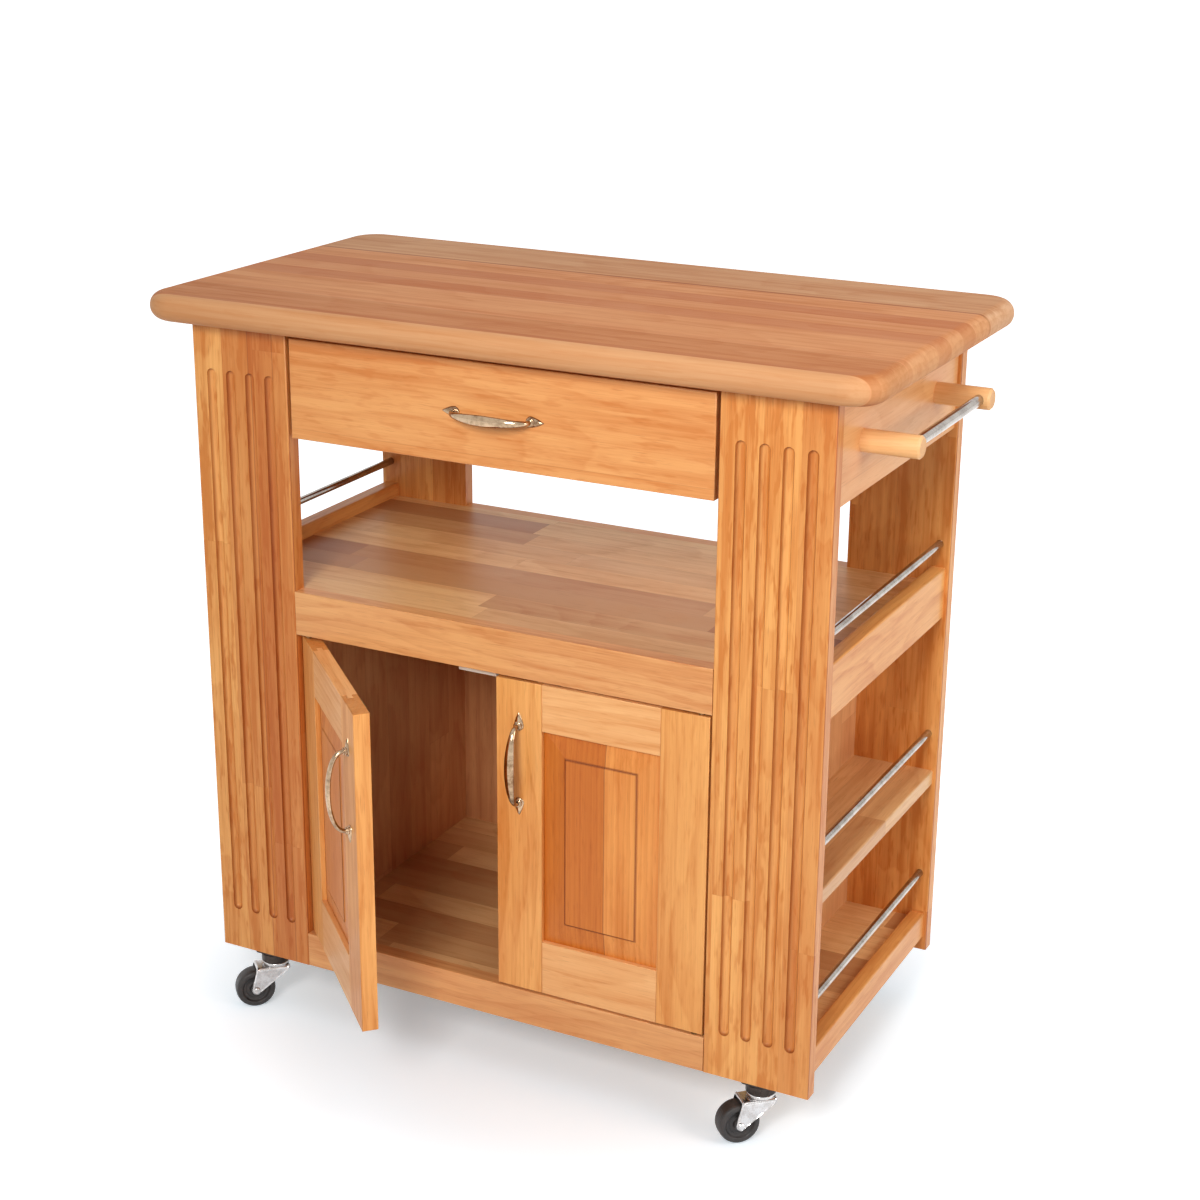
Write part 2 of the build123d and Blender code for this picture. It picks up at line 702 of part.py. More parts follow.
def pin_holes():
    """The holes that the pins' tails sit in."""
    holes = []
    for z, up in ((DOOR_TOP, 1), (DOOR_BOTTOM, -1)):
        end = z - up * (PIVOT_PIN_LENGTH + GROOVE_END_GAP)
        holes.append(rod((PIVOT_X, PIVOT_Y, end), (PIVOT_X, PIVOT_Y, z), PIVOT_PIN_RADIUS))
    return holes


def make_bushes():
    """Flanged bushes in the rails; each takes the head of one pivot pin."""
    bushes = []
    for side in (-1, 1):
        x = side * PIVOT_X
        for z, into in ((MID_RAIL_UNDER, 1), (BOTTOM_SHELF_TOP, -1)):
            bush = rod((x, PIVOT_Y, z), (x, PIVOT_Y, z + into * PIVOT_BUSH_LENGTH), PIVOT_BUSH_RADIUS)
            bush += rod((x, PIVOT_Y, z), (x, PIVOT_Y, z - into * PIVOT_FLANGE_THICK), PIVOT_FLANGE_RADIUS)
            start = (x, PIVOT_Y, z - into * (PIVOT_FLANGE_THICK + CUT_PAST))
            deep = (x, PIVOT_Y, z + into * (PIVOT_PIN_LENGTH + GROOVE_END_GAP))
            bushes.append(bush - rod(start, deep, PIVOT_PIN_RADIUS + PIVOT_PLAY))
    return bushes


def strike_plate():
    """The steel plate inside the free stile that meets the magnetic catch."""
    centre = CATCH_FROM_CENTRE + CATCH_LENGTH / 2
    top = DOOR_TOP - STRIKE_FROM_TOP
    plate = block(
        (centre - STRIKE_LENGTH / 2, centre + STRIKE_LENGTH / 2),
        (-INNER_Y, STRIKE_THICK - INNER_Y),
        (top - STRIKE_HEIGHT, top),
    )
    return fillet(plate.edges().filter_by(Axis.Y), FINE_EASE)


def make_catches():
    """Two catches under the cleat: a case with two pole plates proud of its face."""
    catches = []
    front = STRIKE_THICK + CATCH_AIR - INNER_Y
    top = MID_RAIL_UNDER
    for side in (-1, 1):
        xs = sorted((side * CATCH_FROM_CENTRE, side * (CATCH_FROM_CENTRE + CATCH_LENGTH)))
        case = block(xs, (front + CATCH_POLE, front + CATCH_POLE + CATCH_DEPTH), (top - CATCH_HEIGHT, top))
        case = fillet(case.edges().filter_by(Axis.Y), FINE_EASE)
        centre = (xs[0] + xs[1]) / 2
        pole_xs = (centre - CATCH_POLE_LENGTH / 2, centre + CATCH_POLE_LENGTH / 2)
        for up in (-1, 1):
            near = top - CATCH_HEIGHT / 2 + up * CATCH_POLE_GAP / 2
            pole_zs = sorted((near, near + up * CATCH_POLE_THICK))
            case += block(pole_xs, (front, front + CATCH_POLE), pole_zs)
        catches.append(case)
    return catches


# Bow pulls, made along X on the plane y = 0 with the bow towards -Y

def pull_foot(side):
    """A leaf-shaped foot: round at the heel under the bow and drawn out to a tip."""
    heel = side * PULL_CENTRES / 2
    tip = side * (PULL_CENTRES / 2 + PULL_FOOT_REACH - PULL_FOOT_TIP)
    plane = Plane(origin=(0, 0, 0), x_dir=(1, 0, 0), z_dir=(0, -1, 0))
    rounds = (Pos(heel, 0) * Circle(PULL_FOOT_HEEL)).edges()
    rounds += (Pos(tip, 0) * Circle(PULL_FOOT_TIP)).edges()
    foot = extrude(plane * make_hull(rounds), PULL_FOOT_THICK)
    return chamfer(foot.edges().group_by(Axis.Y)[0], FINE_EASE)


def pull_centre(t):
    """The bow's centre line at t from -1 to 1: a full arch between the feet."""
    angle = t * math.pi / 2
    rise = PULL_REACH - PULL_BELLY_THICK - PULL_FOOT_THICK
    return Vector(
        PULL_CENTRES / 2 * math.sin(angle),
        -PULL_FOOT_THICK - rise * math.cos(angle) ** PULL_FULLNESS,
        0,
    )


def pull_section(t, step):
    """The bow's oval at t, square to the centre line and widest in the middle."""
    before = pull_centre(max(t - step, -1))
    after = pull_centre(min(t + step, 1))
    belly = math.cos(t * math.pi / 2) ** 2
    wide = PULL_NECK_WIDE + (PULL_BELLY_WIDE - PULL_NECK_WIDE) * belly
    thick = PULL_NECK_THICK + (PULL_BELLY_THICK - PULL_NECK_THICK) * belly
    plane = Plane(origin=pull_centre(t), x_dir=(0, 0, 1), z_dir=(after - before).normalized())
    return plane * Ellipse(wide, thick)


def make_pull():
    """A bow that grows out of a collar on each leaf foot, in one casting."""
    step = 1 / (PULL_SECTIONS - 1)
    sections = [pull_section(-1 + 2 * i * step, step) for i in range(PULL_SECTIONS)]
    pull = loft(sections, ruled=True)
    for side in (-1, 1):
        pull += pull_foot(side)
        heel = side * PULL_CENTRES / 2
        collar = rod((heel, 0, 0), (heel, -PULL_FOOT_THICK - PULL_COLLAR_THICK, 0), PULL_COLLAR_RADIUS)
        pull += chamfer(collar.edges().group_by(Axis.Y)[0], PULL_COLLAR_THICK / 2)
    return pull


def place_drawer_pull(pull):
    return Pos(0, -HALF_D, (DRAWER_FRONT_BOTTOM + DRAWER_FRONT_TOP) / 2) * pull


def place_door_pull(pull):
    x = DOOR_IN_X + STILE_WIDTH / 2
    return Pos(x, -HALF_D, DOOR_TOP - DOOR_PULL_DROP) * Rot(0, 90, 0) * pull


def make_door(pull):
    """Every piece of the right door, closed."""
    x_free = DOOR_IN_X + STILE_WIDTH
    x_hinge = DOOR_OUT_X - STILE_WIDTH
    z_low = DOOR_BOTTOM + DOOR_BOTTOM_RAIL
    z_high = DOOR_TOP - DOOR_TOP_RAIL
    hinge_stile = door_stile(x_hinge, DOOR_OUT_X, -1)
    for hole in pin_holes():
        hinge_stile -= hole
    return {
        "hinge_stile": hinge_stile,
        "free_stile": door_stile(DOOR_IN_X, x_free, 1),
        "top_rail": door_rail((z_high, DOOR_TOP), (z_high, z_high + DOOR_GROOVE_DEPTH)),
        "bottom_rail": door_rail((DOOR_BOTTOM, z_low), (z_low - DOOR_GROOVE_DEPTH, z_low)),
        "raised_panel": raised_panel(),
        "pull": place_door_pull(pull),
        "fittings": Compound(children=pivot_pins() + [strike_plate()]),
    }


def swing(shape, angle):
    """Turns a left door piece about its pivot; a negative angle opens it to the front."""
    pivot = Pos(-PIVOT_X, PIVOT_Y, 0)
    return pivot * Rot(0, 0, angle) * pivot.inverse() * shape


# Casters, made at the origin with the trail along +X

def make_wheel():
    """A solid wheel: hub, thinner web and a rim whose tread falls away to both sides."""
    half = [
        (AXLE_RADIUS + AXLE_PLAY, WHEEL_HUB_HALF),
        (WHEEL_HUB_RADIUS, WHEEL_HUB_HALF),
        (WHEEL_HUB_RADIUS, WHEEL_WEB_HALF),
        (WHEEL_RIM_INNER - WHEEL_RIM_SLOPE, WHEEL_WEB_HALF),
        (WHEEL_RIM_INNER, WHEEL_HALF),
        (WHEEL_RADIUS - WHEEL_TREAD_FALL, WHEEL_HALF),
        (WHEEL_RADIUS, WHEEL_HALF - WHEEL_TREAD_SIDE),
    ]
    outline = half + [(r, -a) for r, a in reversed(half)]
    wheel = revolve(Plane.XY * make_face(Polyline(*outline, close=True)), Axis.Y)
    return Pos(CASTER_TRAIL, 0, WHEEL_RADIUS) * wheel


def fork_outline():
    """The fork's side view, wide under the bearing and drawn in to an eye at the axle."""
    z = BRIDGE_TOP - FORK_TOP_ROUND
    rounds = [(FORK_TOP_BACK, z, FORK_TOP_ROUND), (FORK_TOP_FRONT, z, FORK_TOP_ROUND)]
    rounds.append((CASTER_TRAIL, WHEEL_RADIUS, FORK_EYE_RADIUS))
    edges = ShapeList()
    for x, z, radius in rounds:
        edges += (Pos(x, z) * Circle(radius)).edges()
    return make_hull(edges)


def fork_blank():
    """Sheet bent over the wheel, then cut to the side view."""
    low = WHEEL_RADIUS - FORK_EYE_RADIUS
    height = BRIDGE_TOP - low
    bent = Pos(0, (BRIDGE_TOP + low) / 2) * Rectangle(2 * FORK_OUT, height)
    bent = fillet(bent.vertices().group_by(Axis.Y)[-1], FORK_BEND)
    bent -= Pos(0, (BRIDGE_UNDER + low) / 2) * Rectangle(2 * FORK_IN, BRIDGE_UNDER - low)
    across = Plane(origin=(-BRIDGE_TOP, 0, 0), x_dir=(0, 1, 0), z_dir=(1, 0, 0))
    along = Plane(origin=(0, FORK_OUT, 0), x_dir=(1, 0, 0), z_dir=(0, -1, 0))
    return extrude(across * bent, 2 * BRIDGE_TOP) & extrude(along * fork_outline(), 2 * FORK_OUT)


def make_fork():
    """A pressed fork: a dished crown on the bearing, a bridge and two legs to the axle."""
    fork = fork_blank()
    low = BRIDGE_TOP - CROWN_LAP
    dish = [
        (0, low),
        (CROWN_RADIUS - CROWN_HEIGHT / 2, low),
        (CROWN_RADIUS, low + CROWN_HEIGHT / 2),
        (CROWN_RADIUS, CROWN_TOP),
        (0, CROWN_TOP),
    ]
    fork += revolve(Plane.XZ * make_face(Polyline(*dish, close=True)), Axis.Z)
    fork -= rod(
        (0, 0, BRIDGE_UNDER - CUT_PAST), (0, 0, CROWN_TOP + CUT_PAST), KINGPIN_RADIUS + KINGPIN_PLAY
    )
    reach = FORK_OUT + AXLE_HEAD_THICK
    axle = rod((CASTER_TRAIL, -reach, WHEEL_RADIUS), (CASTER_TRAIL, reach, WHEEL_RADIUS), AXLE_RADIUS)
    for side in (-1, 1):
        start = (CASTER_TRAIL, side * FORK_OUT, WHEEL_RADIUS)
        head = rod(start, (CASTER_TRAIL, side * reach, WHEEL_RADIUS), AXLE_HEAD_RADIUS)
        axle += chamfer(head.edges().sort_by(Axis.Y)[-1 if side > 0 else 0], AXLE_HEAD_BEVEL)
    return fork + axle


def make_caster_plate():
    """The fixed half: a plate, the upper bearing cup and the kingpin with its riveted head."""
    plate = extrude(RectangleRounded(PLATE_SIDE, PLATE_SIDE, PLATE_CORNER), PLATE_THICK)
    inset = PLATE_SIDE / 2 - PLATE_HOLE_INSET
    for x in (-inset, inset):
        for y in (-inset, inset):
            plate -= rod((x, y, -CUT_PAST), (x, y, PLATE_THICK + CUT_PAST), PLATE_HOLE_RADIUS)
    cup = rod((0, 0, RACE_BOTTOM), (0, 0, PLATE_BOTTOM), RACE_RADIUS)
    cup = chamfer(cup.edges().group_by(Axis.Z)[-1], RACE_BEVEL)
    head_top = BRIDGE_UNDER - SWIVEL_PLAY
    pin = rod((0, 0, head_top), (0, 0, PLATE_BOTTOM), KINGPIN_RADIUS)
    pin += rod((0, 0, head_top - KINGPIN_HEAD_THICK), (0, 0, head_top), KINGPIN_HEAD_RADIUS)
    return Pos(0, 0, PLATE_BOTTOM) * plate + cup + pin


def make_caster_blocks():
    """Four blocks under the bottom shelf, in the corners behind the panels."""
    right = block(
        (PARTITION_OUT, END_IN - BLOCK_INSET),
        (-INNER_Y, BLOCK_DEPTH - INNER_Y),
        (PANEL_BOTTOM, BOTTOM_SHELF_UNDER),
    )
    right = fillet(edges_on(right, Axis.X, ("Y", BLOCK_DEPTH - INNER_Y), ("Z", PANEL_BOTTOM)), EASE)
    front = [mirror_x(right), right]
    return front + [mirror_y(piece) for piece in front]


CORNERS = {
    "front_left": (-CASTER_X, -CASTER_Y),
    "front_right": (CASTER_X, -CASTER_Y),
    "rear_left": (-CASTER_X, CASTER_Y),
    "rear_right": (CASTER_X, CASTER_Y),
}


def build_carcass():
    nodes = {"worktop": make_worktop()}
    front = make_panel([MID_RAIL_ZS, BOTTOM_RAIL_ZS])
    rear = mirror_y(make_panel([APRON_ZS, MID_RAIL_ZS, BOTTOM_RAIL_ZS]))
    nodes["panel_front_right"] = front
    nodes["panel_front_left"] = mirror_x(front)
    nodes["panel_rear_right"] = rear
    nodes["panel_rear_left"] = mirror_x(rear)
    nodes["end_apron_right"] = make_right_apron()
    nodes["end_apron_left"] = mirror_x(make_end_apron())
    nodes["rear_apron"] = mirror_y(make_front_rail(APRON_ZS))
    nodes["mid_front_rail"] = make_mid_front_rail()
    nodes["mid_rear_rail"] = mirror_y(make_front_rail(MID_RAIL_ZS) - shelf_groove(MID_SHELF_TOP))
    nodes["bottom_front_rail"] = make_bottom_front_rail()
    nodes["bottom_rear_rail"] = mirror_y(make_front_rail(BOTTOM_RAIL_ZS) - shelf_groove(BOTTOM_SHELF_TOP))
    nodes["mid_shelf"] = make_long_shelf(MID_SHELF_TOP, MID_SHELF_UNDER, MID_SHELF_UNDER + DADO_DEPTH)
    nodes["bottom_shelf"] = make_long_shelf(
        BOTTOM_SHELF_TOP, BOTTOM_SHELF_TOP - DADO_DEPTH, BOTTOM_SHELF_TOP
    )
    lip_top = MID_SHELF_TOP + MID_LIP_RISE
    lip = make_end_lip((lip_top - MID_LIP_HEIGHT, lip_top), MID_SHELF_TOP)
    nodes["mid_end_lips"] = [mirror_x(lip), lip]
    low_top = BOTTOM_SHELF_TOP + BOTTOM_LIP_RISE
    low_lip = make_end_lip((low_top - BOTTOM_LIP_HEIGHT, low_top), BOTTOM_SHELF_TOP)
    nodes["bottom_end_lips"] = [mirror_x(low_lip), low_lip]
    nodes["partition_right"] = make_partition()
    nodes["partition_left"] = mirror_x(make_partition())
    nodes["rack_shelf_right"] = make_rack_shelf()
    nodes["rack_shelf_left"] = mirror_x(make_rack_shelf())
    nodes["back_panel"] = make_back()
    nodes["catch_cleat"] = make_catch_cleat()
    nodes["magnetic_catches"] = make_catches()
    nodes["pivot_bushes"] = make_bushes()
    nodes["gallery_rods"] = make_rods()
    nodes["side_bar_pegs"] = [make_peg(-1), make_peg(1)]
    nodes["side_bar"] = make_side_bar()
    nodes["drawer_bearers"] = make_bearers()
    nodes["drawer_runners"] = make_runners()
    nodes["caster_blocks"] = make_caster_blocks()
    return nodes


def build_drawer(pull):
    right = make_drawer_side()
    left = mirror_x(right)
    return {
        "drawer_front": make_drawer_front(),
        "drawer_box_front": make_drawer_cross(True, [left, right]),
        "drawer_side_left": left,
        "drawer_side_right": right,
        "drawer_back": make_drawer_cross(False, [left, right]),
        "drawer_bottom": drawer_bottom_board(),
        "drawer_pull": place_drawer_pull(pull),
    }


def build_doors(pull):
    nodes = {}
    for name, piece in make_door(pull).items():
        nodes["right_door_" + name] = piece
        nodes["left_door_" + name] = swing(mirror_x(piece), -LEFT_DOOR_OPEN)
    return nodes


def build_casters():
    plate = make_caster_plate()
    fork = make_fork()
    wheel = make_wheel()
    nodes = {"caster_plates": [Pos(x, y, 0) * plate for x, y in CORNERS.values()]}
    for corner, (x, y) in CORNERS.items():
        place = Pos(x, y, 0) * Rot(0, 0, CASTER_HEADING)
        nodes["caster_fork_" + corner] = place * fork
        nodes["caster_wheel_" + corner] = place * wheel
    return nodes


def main():
    os.makedirs("parts", exist_ok=True)
    pull = make_pull()
    nodes = build_carcass() | build_drawer(pull) | build_doors(pull) | build_casters()
    for name, shape in nodes.items():
        if isinstance(shape, list):
            shape = Compound(children=shape)
        export_step(shape, "parts/" + name + ".step")
    print(len(nodes), "nodes")


main()
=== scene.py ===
# %% [markdown]
# # A rolling kitchen island with a butcher block top
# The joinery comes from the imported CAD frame, in metres, and stays where it is. This lesson
# gives every board its own figure, every fitting its own metal, and replaces the small cast
# and moulded parts, where smooth curves matter, with surfaces worked out from formulas.

# %% Open the frame
import json
import math
import bpy
import numpy as np
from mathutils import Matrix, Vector


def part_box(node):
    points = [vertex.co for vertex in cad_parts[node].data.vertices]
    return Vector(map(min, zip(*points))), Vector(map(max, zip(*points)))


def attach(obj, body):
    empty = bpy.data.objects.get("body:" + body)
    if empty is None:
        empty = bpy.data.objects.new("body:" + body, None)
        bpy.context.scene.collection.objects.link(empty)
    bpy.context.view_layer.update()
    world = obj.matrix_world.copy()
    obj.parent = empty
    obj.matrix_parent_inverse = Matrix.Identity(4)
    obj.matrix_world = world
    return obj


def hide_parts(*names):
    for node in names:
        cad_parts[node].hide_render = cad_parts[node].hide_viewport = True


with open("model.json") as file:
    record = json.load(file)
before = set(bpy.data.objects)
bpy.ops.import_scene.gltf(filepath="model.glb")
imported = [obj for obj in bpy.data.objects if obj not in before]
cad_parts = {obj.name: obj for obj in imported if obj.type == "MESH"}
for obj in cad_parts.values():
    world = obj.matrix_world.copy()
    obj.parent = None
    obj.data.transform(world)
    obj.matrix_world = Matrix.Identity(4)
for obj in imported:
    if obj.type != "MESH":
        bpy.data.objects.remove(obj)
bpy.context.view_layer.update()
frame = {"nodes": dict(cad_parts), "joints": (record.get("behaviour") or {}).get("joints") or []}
nodes = frame["nodes"]

# %% [markdown]
# ## The camera
# The photograph was taken from a little above the worktop and to the right of the front. Its
# place was solved from the straight edges of the panels and rails, as one ordinary lens with no
# shift. The turn is built from three angles, so that each can be read and changed on its own.

# %% Place the camera
CAMERA_AT = Vector((1.1629, -2.2413, 1.4159))
CAMERA_YAW = math.radians(26.87)
CAMERA_DOWN = math.radians(19.12)
CAMERA_ROLL = math.radians(0.49)
CAMERA_LENS = 66.25
SENSOR = 36.0


def camera_axes(yaw, down, roll):
    """Forward, right and up: turned left by the yaw, tipped down, then rolled about forward."""
    forward = Vector((
        -math.sin(yaw) * math.cos(down),
        math.cos(yaw) * math.cos(down),
        -math.sin(down),
    ))
    level = forward.cross(Vector((0, 0, 1))).normalized()
    upright = level.cross(forward)
    right = level * math.cos(roll) + upright * math.sin(roll)
    return forward, right, right.cross(forward)


def place_camera():
    """The axes are the matrix's columns; a camera looks along its own -Z."""
    data = bpy.data.cameras.new("camera")
    data.lens = CAMERA_LENS
    data.sensor_width = SENSOR
    camera = bpy.data.objects.new("camera", data)
    forward, right, up = camera_axes(CAMERA_YAW, CAMERA_DOWN, CAMERA_ROLL)
    matrix = camera.matrix_world.copy()
    for i in range(3):
        matrix[i][0] = right[i]
        matrix[i][1] = up[i]
        matrix[i][2] = -forward[i]
        matrix[i][3] = CAMERA_AT[i]
    camera.matrix_world = matrix
    bpy.context.scene.collection.objects.link(camera)
    bpy.context.scene.camera = camera


place_camera()
print("camera at", tuple(round(v, 3) for v in CAMERA_AT), "lens", CAMERA_LENS)

# %% [markdown]
# ## Writing node trees in short lines
# A node tree is easier to read when adding a node, setting it and wiring it is one call. `put`
# does that: a value goes on the socket, and another node's output is linked to it. The other
# helpers cover the arithmetic that the finishes use again and again.

# %% Helpers for node trees
def put(tree, kind, sockets=None, **settings):
    """Adds a node; each socket gets a plain value or a link."""
    node = tree.nodes.new("ShaderNode" + kind)
    for key, value in settings.items():
        setattr(node, key, value)
    for key, value in (sockets or {}).items():
        if isinstance(value, bpy.types.NodeSocket):
            tree.links.new(value, node.inputs[key])
        else:
            node.inputs[key].default_value = value
    return node


def calc(tree, operation, *values):
    """One step of arithmetic on numbers or sockets."""
    return put(tree, "Math", dict(enumerate(values)), operation=operation).outputs[0]


def ramp(tree, value, low, high, out_low=0.0, out_high=1.0):
    """A smooth step of a value from one range to another."""
    node = put(
        tree,
        "MapRange",
        {"Value": value, "From Min": low, "From Max": high, "To Min": out_low, "To Max": out_high},
        interpolation_type="SMOOTHSTEP",
    )
    return node.outputs["Result"]


def blend(tree, factor, first, second, how="MIX"):
    """Mixes two colours. A colour Mix has them at sockets 6 and 7, and its result at 2."""
    node = put(tree, "Mix", data_type="RGBA", blend_type=how)
    for key, value in ((0, factor), (6, first), (7, second)):
        if isinstance(value, bpy.types.NodeSocket):
            tree.links.new(value, node.inputs[key])
        elif key:
            node.inputs[key].default_value = (*value, 1.0)
        else:
            node.inputs[key].default_value = value
    return node.outputs[2]


def noise(tree, vector, scale, detail=2.0, rough=0.5):
    """Noise read at a vector that is first stretched by three scales."""
    stretched = put(tree, "VectorMath", {0: vector, 1: scale}, operation="MULTIPLY").outputs[0]
    sockets = {"Vector": stretched, "Scale": 1.0, "Detail": detail, "Roughness": rough}
    return put(tree, "TexNoise", sockets).outputs["Fac"]


def srgb(red, green, blue):
    """A colour given as seen on a screen, from 0 to 255, turned into linear light."""
    out = []
    for value in (red, green, blue):
        v = value / 255
        out.append(v / 12.92 if v <= 0.04045 else ((v + 0.055) / 1.055) ** 2.4)
    return tuple(out)


def start_group(name, inputs, outputs):
    """A node group with named sockets; returns the tree, its inputs and its output node."""
    tree = bpy.data.node_groups.new(name, "ShaderNodeTree")
    for label, kind, value in inputs:
        socket = tree.interface.new_socket(label, in_out="INPUT", socket_type="NodeSocket" + kind)
        if value is not None:
            socket.default_value = value
    for label, kind in outputs:
        tree.interface.new_socket(label, in_out="OUTPUT", socket_type="NodeSocket" + kind)
    entry = tree.nodes.new("NodeGroupInput")
    leave = tree.nodes.new("NodeGroupOutput")
    return tree, entry.outputs, leave.inputs


def start_material(name):
    """An empty material with one Principled shader; returns both and the tree."""
    material = bpy.data.materials.new(name)
    material.use_nodes = True
    tree = material.node_tree
    tree.nodes.clear()
    shader = put(tree, "BsdfPrincipled")
    end = put(tree, "OutputMaterial")
    tree.links.new(shader.outputs[0], end.inputs[0])
    return material, tree, shader


print("node helpers ready")

# %% [markdown]
# ## Daylight studio
# A white sweep and soft square lamps show a satin finish best. The key lamp stands in front and a
# little to the right with a narrow spread, so the open door shades the rail behind it. A second
# lights the end with the side bar, and a weak third one the top. Colours render about as they are
# written. The backdrop is white only for what looks at it: the camera, mirrors and glass.

# %% Light the scene
WORLD_FILL = 0.36
FLOOR_COLOUR = (0.87, 0.895, 0.93)
FLOOR_RADIUS, FLOOR_SIDES = 30.0, 96
FLOOR_CLOUD = 0.985
LIFT_NEAR, LIFT_FAR = 0.27, 0.90
LIFT_FROM, LIFT_TO = 0.28, 0.72
LIFT_TINT = (0.82, 0.97, 1.06)
LAMPS = (  # name, place, aim, size, power, spread in degrees, colour
    ("key", (0.55, -2.70, 2.05), (0.34, -0.1, 0.85), 0.9, 12.6, 80.0, (1.0, 0.985, 0.96)),
    ("end", (3.1, -0.35, 1.7), (0.1, 0.0, 0.6), 1.4, 36.0, 180.0, (1.0, 0.99, 0.975)),
    ("top", (0.75, 0.1, 2.3), (0.1, 0.0, 0.9), 1.0, 5.5, 180.0, (0.97, 0.985, 1.0)),
)


def light_path_mask(tree):
    """One for rays that look straight at something or reach it by a mirror or glass."""
    path = put(tree, "LightPath").outputs
    seen = calc(tree, "MAXIMUM", path["Is Camera Ray"], path["Is Glossy Ray"])
    return calc(tree, "MAXIMUM", seen, path["Is Transmission Ray"])


def make_world():
    world = bpy.data.worlds.new("white_sweep")
    world.use_nodes = True
    tree = world.node_tree
    tree.nodes.clear()
    fill = put(tree, "Background", {"Color": (1, 1, 1, 1), "Strength": WORLD_FILL})
    white = put(tree, "Background", {"Color": (1, 1, 1, 1), "Strength": 1.0})
    shaders = {1: fill.outputs[0], 2: white.outputs[0]}
    mix = put(tree, "MixShader", {0: light_path_mask(tree), **shaders})
    end = put(tree, "OutputWorld")
    tree.links.new(mix.outputs[0], end.inputs[0])
    bpy.context.scene.world = world


def make_lamp(name, place, aim, size, power, spread, colour):
    data = bpy.data.lights.new(name, "AREA")
    data.spread = math.radians(spread)
    data.shape = "SQUARE"
    data.size = size
    data.energy = power
    data.color = colour
    lamp = bpy.data.objects.new(name, data)
    lamp.location = place
    lamp.rotation_euler = (Vector(aim) - Vector(place)).to_track_quat("-Z", "Y").to_euler()
    bpy.context.scene.collection.objects.link(lamp)


def make_floor():
    """A wide disc whose white is lifted for the camera, more with the distance from the object,
    so that only the shadow shows. Near the object the lift is cool, against the warm light that
    the wood throws on the floor."""
    turns = np.linspace(0, 2 * math.pi, FLOOR_SIDES, endpoint=False)
    rim = FLOOR_RADIUS * np.stack([np.cos(turns), np.sin(turns), np.zeros(FLOOR_SIDES)], 1)
    mesh = bpy.data.meshes.new("floor")
    mesh.from_pydata(rim.tolist(), [], [list(range(FLOOR_SIDES))])
    floor = bpy.data.objects.new("floor", mesh)
    bpy.context.scene.collection.objects.link(floor)
    material = bpy.data.materials.new("pale_floor")
    material.use_nodes = True
    tree = material.node_tree
    tree.nodes.clear()
    place = put(tree, "TexCoord").outputs["Object"]
    cloud = ramp(tree, noise(tree, place, (1.5, 1.5, 1.5)), 0.3, 0.7)
    colour = blend(tree, cloud, FLOOR_COLOUR, tuple(FLOOR_CLOUD * c for c in FLOOR_COLOUR))
    matt = put(tree, "BsdfDiffuse", {"Color": colour})
    far = put(tree, "VectorMath", {0: place}, operation="LENGTH").outputs["Value"]
    out = ramp(tree, far, LIFT_FROM, LIFT_TO)
    amount = calc(tree, "MULTIPLY_ADD", out, LIFT_FAR - LIFT_NEAR, LIFT_NEAR)
    strength = calc(tree, "MULTIPLY", light_path_mask(tree), amount)
    tint = blend(tree, out, LIFT_TINT, (1, 1, 1))
    lift = put(tree, "Emission", {"Color": tint, "Strength": strength})
    both = put(tree, "AddShader", {0: matt.outputs[0], 1: lift.outputs[0]})
    end = put(tree, "OutputMaterial")
    tree.links.new(both.outputs[0], end.inputs[0])
    mesh.materials.append(material)


bpy.context.scene.view_settings.view_transform = "Standard"
make_world()
for lamp in LAMPS:
    make_lamp(*lamp)
make_floor()
print("lamps:", [lamp[0] for lamp in LAMPS])

# %% [markdown]
# ## Wood, as a solid
# A board is a slice of a tree, so its figure is worked out in three dimensions: growth rings are
# tubes round a heart that wanders, and a face, an edge and an end cut through the same tubes each
# show what they would on a real board. Staves are counted across the board and given a heart and
# a tone of their own, as a joiner turns and shuffles them before gluing.

# %% The figure of a glued-up board
BOARD_INPUTS = (
    ("Place", "Vector", None),
    ("Facing", "Vector", None),
    ("Stave Width", "Float", 0.04),
    ("Stave Length", "Float", 9.0),
    ("Seed", "Float", 0.0),
    ("Ring Spacing", "Float", 0.007),
    ("Light", "Color", (0.8, 0.4, 0.15, 1)),
    ("Dark", "Color", (0.6, 0.25, 0.08, 1)),
    ("Red", "Color", (0.5, 0.2, 0.08, 1)),
    ("End Wood", "Color", (0.4, 0.18, 0.07, 1)),
    ("Stave Contrast", "Float", 0.5),
    ("Streaks", "Float", 0.3),
    ("Flecks", "Float", 0.2),
    ("Seams", "Float", 0.3),
    ("Gloss", "Float", 0.36),
)
BOARD_OUTPUTS = (("Color", "Color"), ("Roughness", "Float"), ("Height", "Float"))
NOISES = {  # scales along, across and into the board, detail, roughness
    "drift": ((2.2, 3.0, 3.0), 1.0, 0.5),
    "wobble": ((4.0, 26.0, 26.0), 3.0, 0.55),
    "fibre": ((7.0, 520.0, 520.0), 3.0, 0.6),
    "streak": ((3.6, 88.0, 88.0), 3.0, 0.6),
    "fleck": ((26.0, 150.0, 150.0), 2.0, 0.6),
    "cloud": ((4.5, 17.0, 17.0), 2.0, 0.5),
    "pore": ((38.0, 1250.0, 1250.0), 1.0, 0.5),
}
STAVE_SHIFT, ROW_SHIFT = (3.0, 1.7, 2.3), 7.0
HEART_DEEP, HEART_LEAN, HEART_DRIFT, RING_WOBBLE = 0.03, 0.06, 0.07, 0.011
LATE_PART, FIBRE_PART, CLOUD_PART, PORE_PART, END_PART = 0.30, 0.20, 0.34, 0.30, 0.45


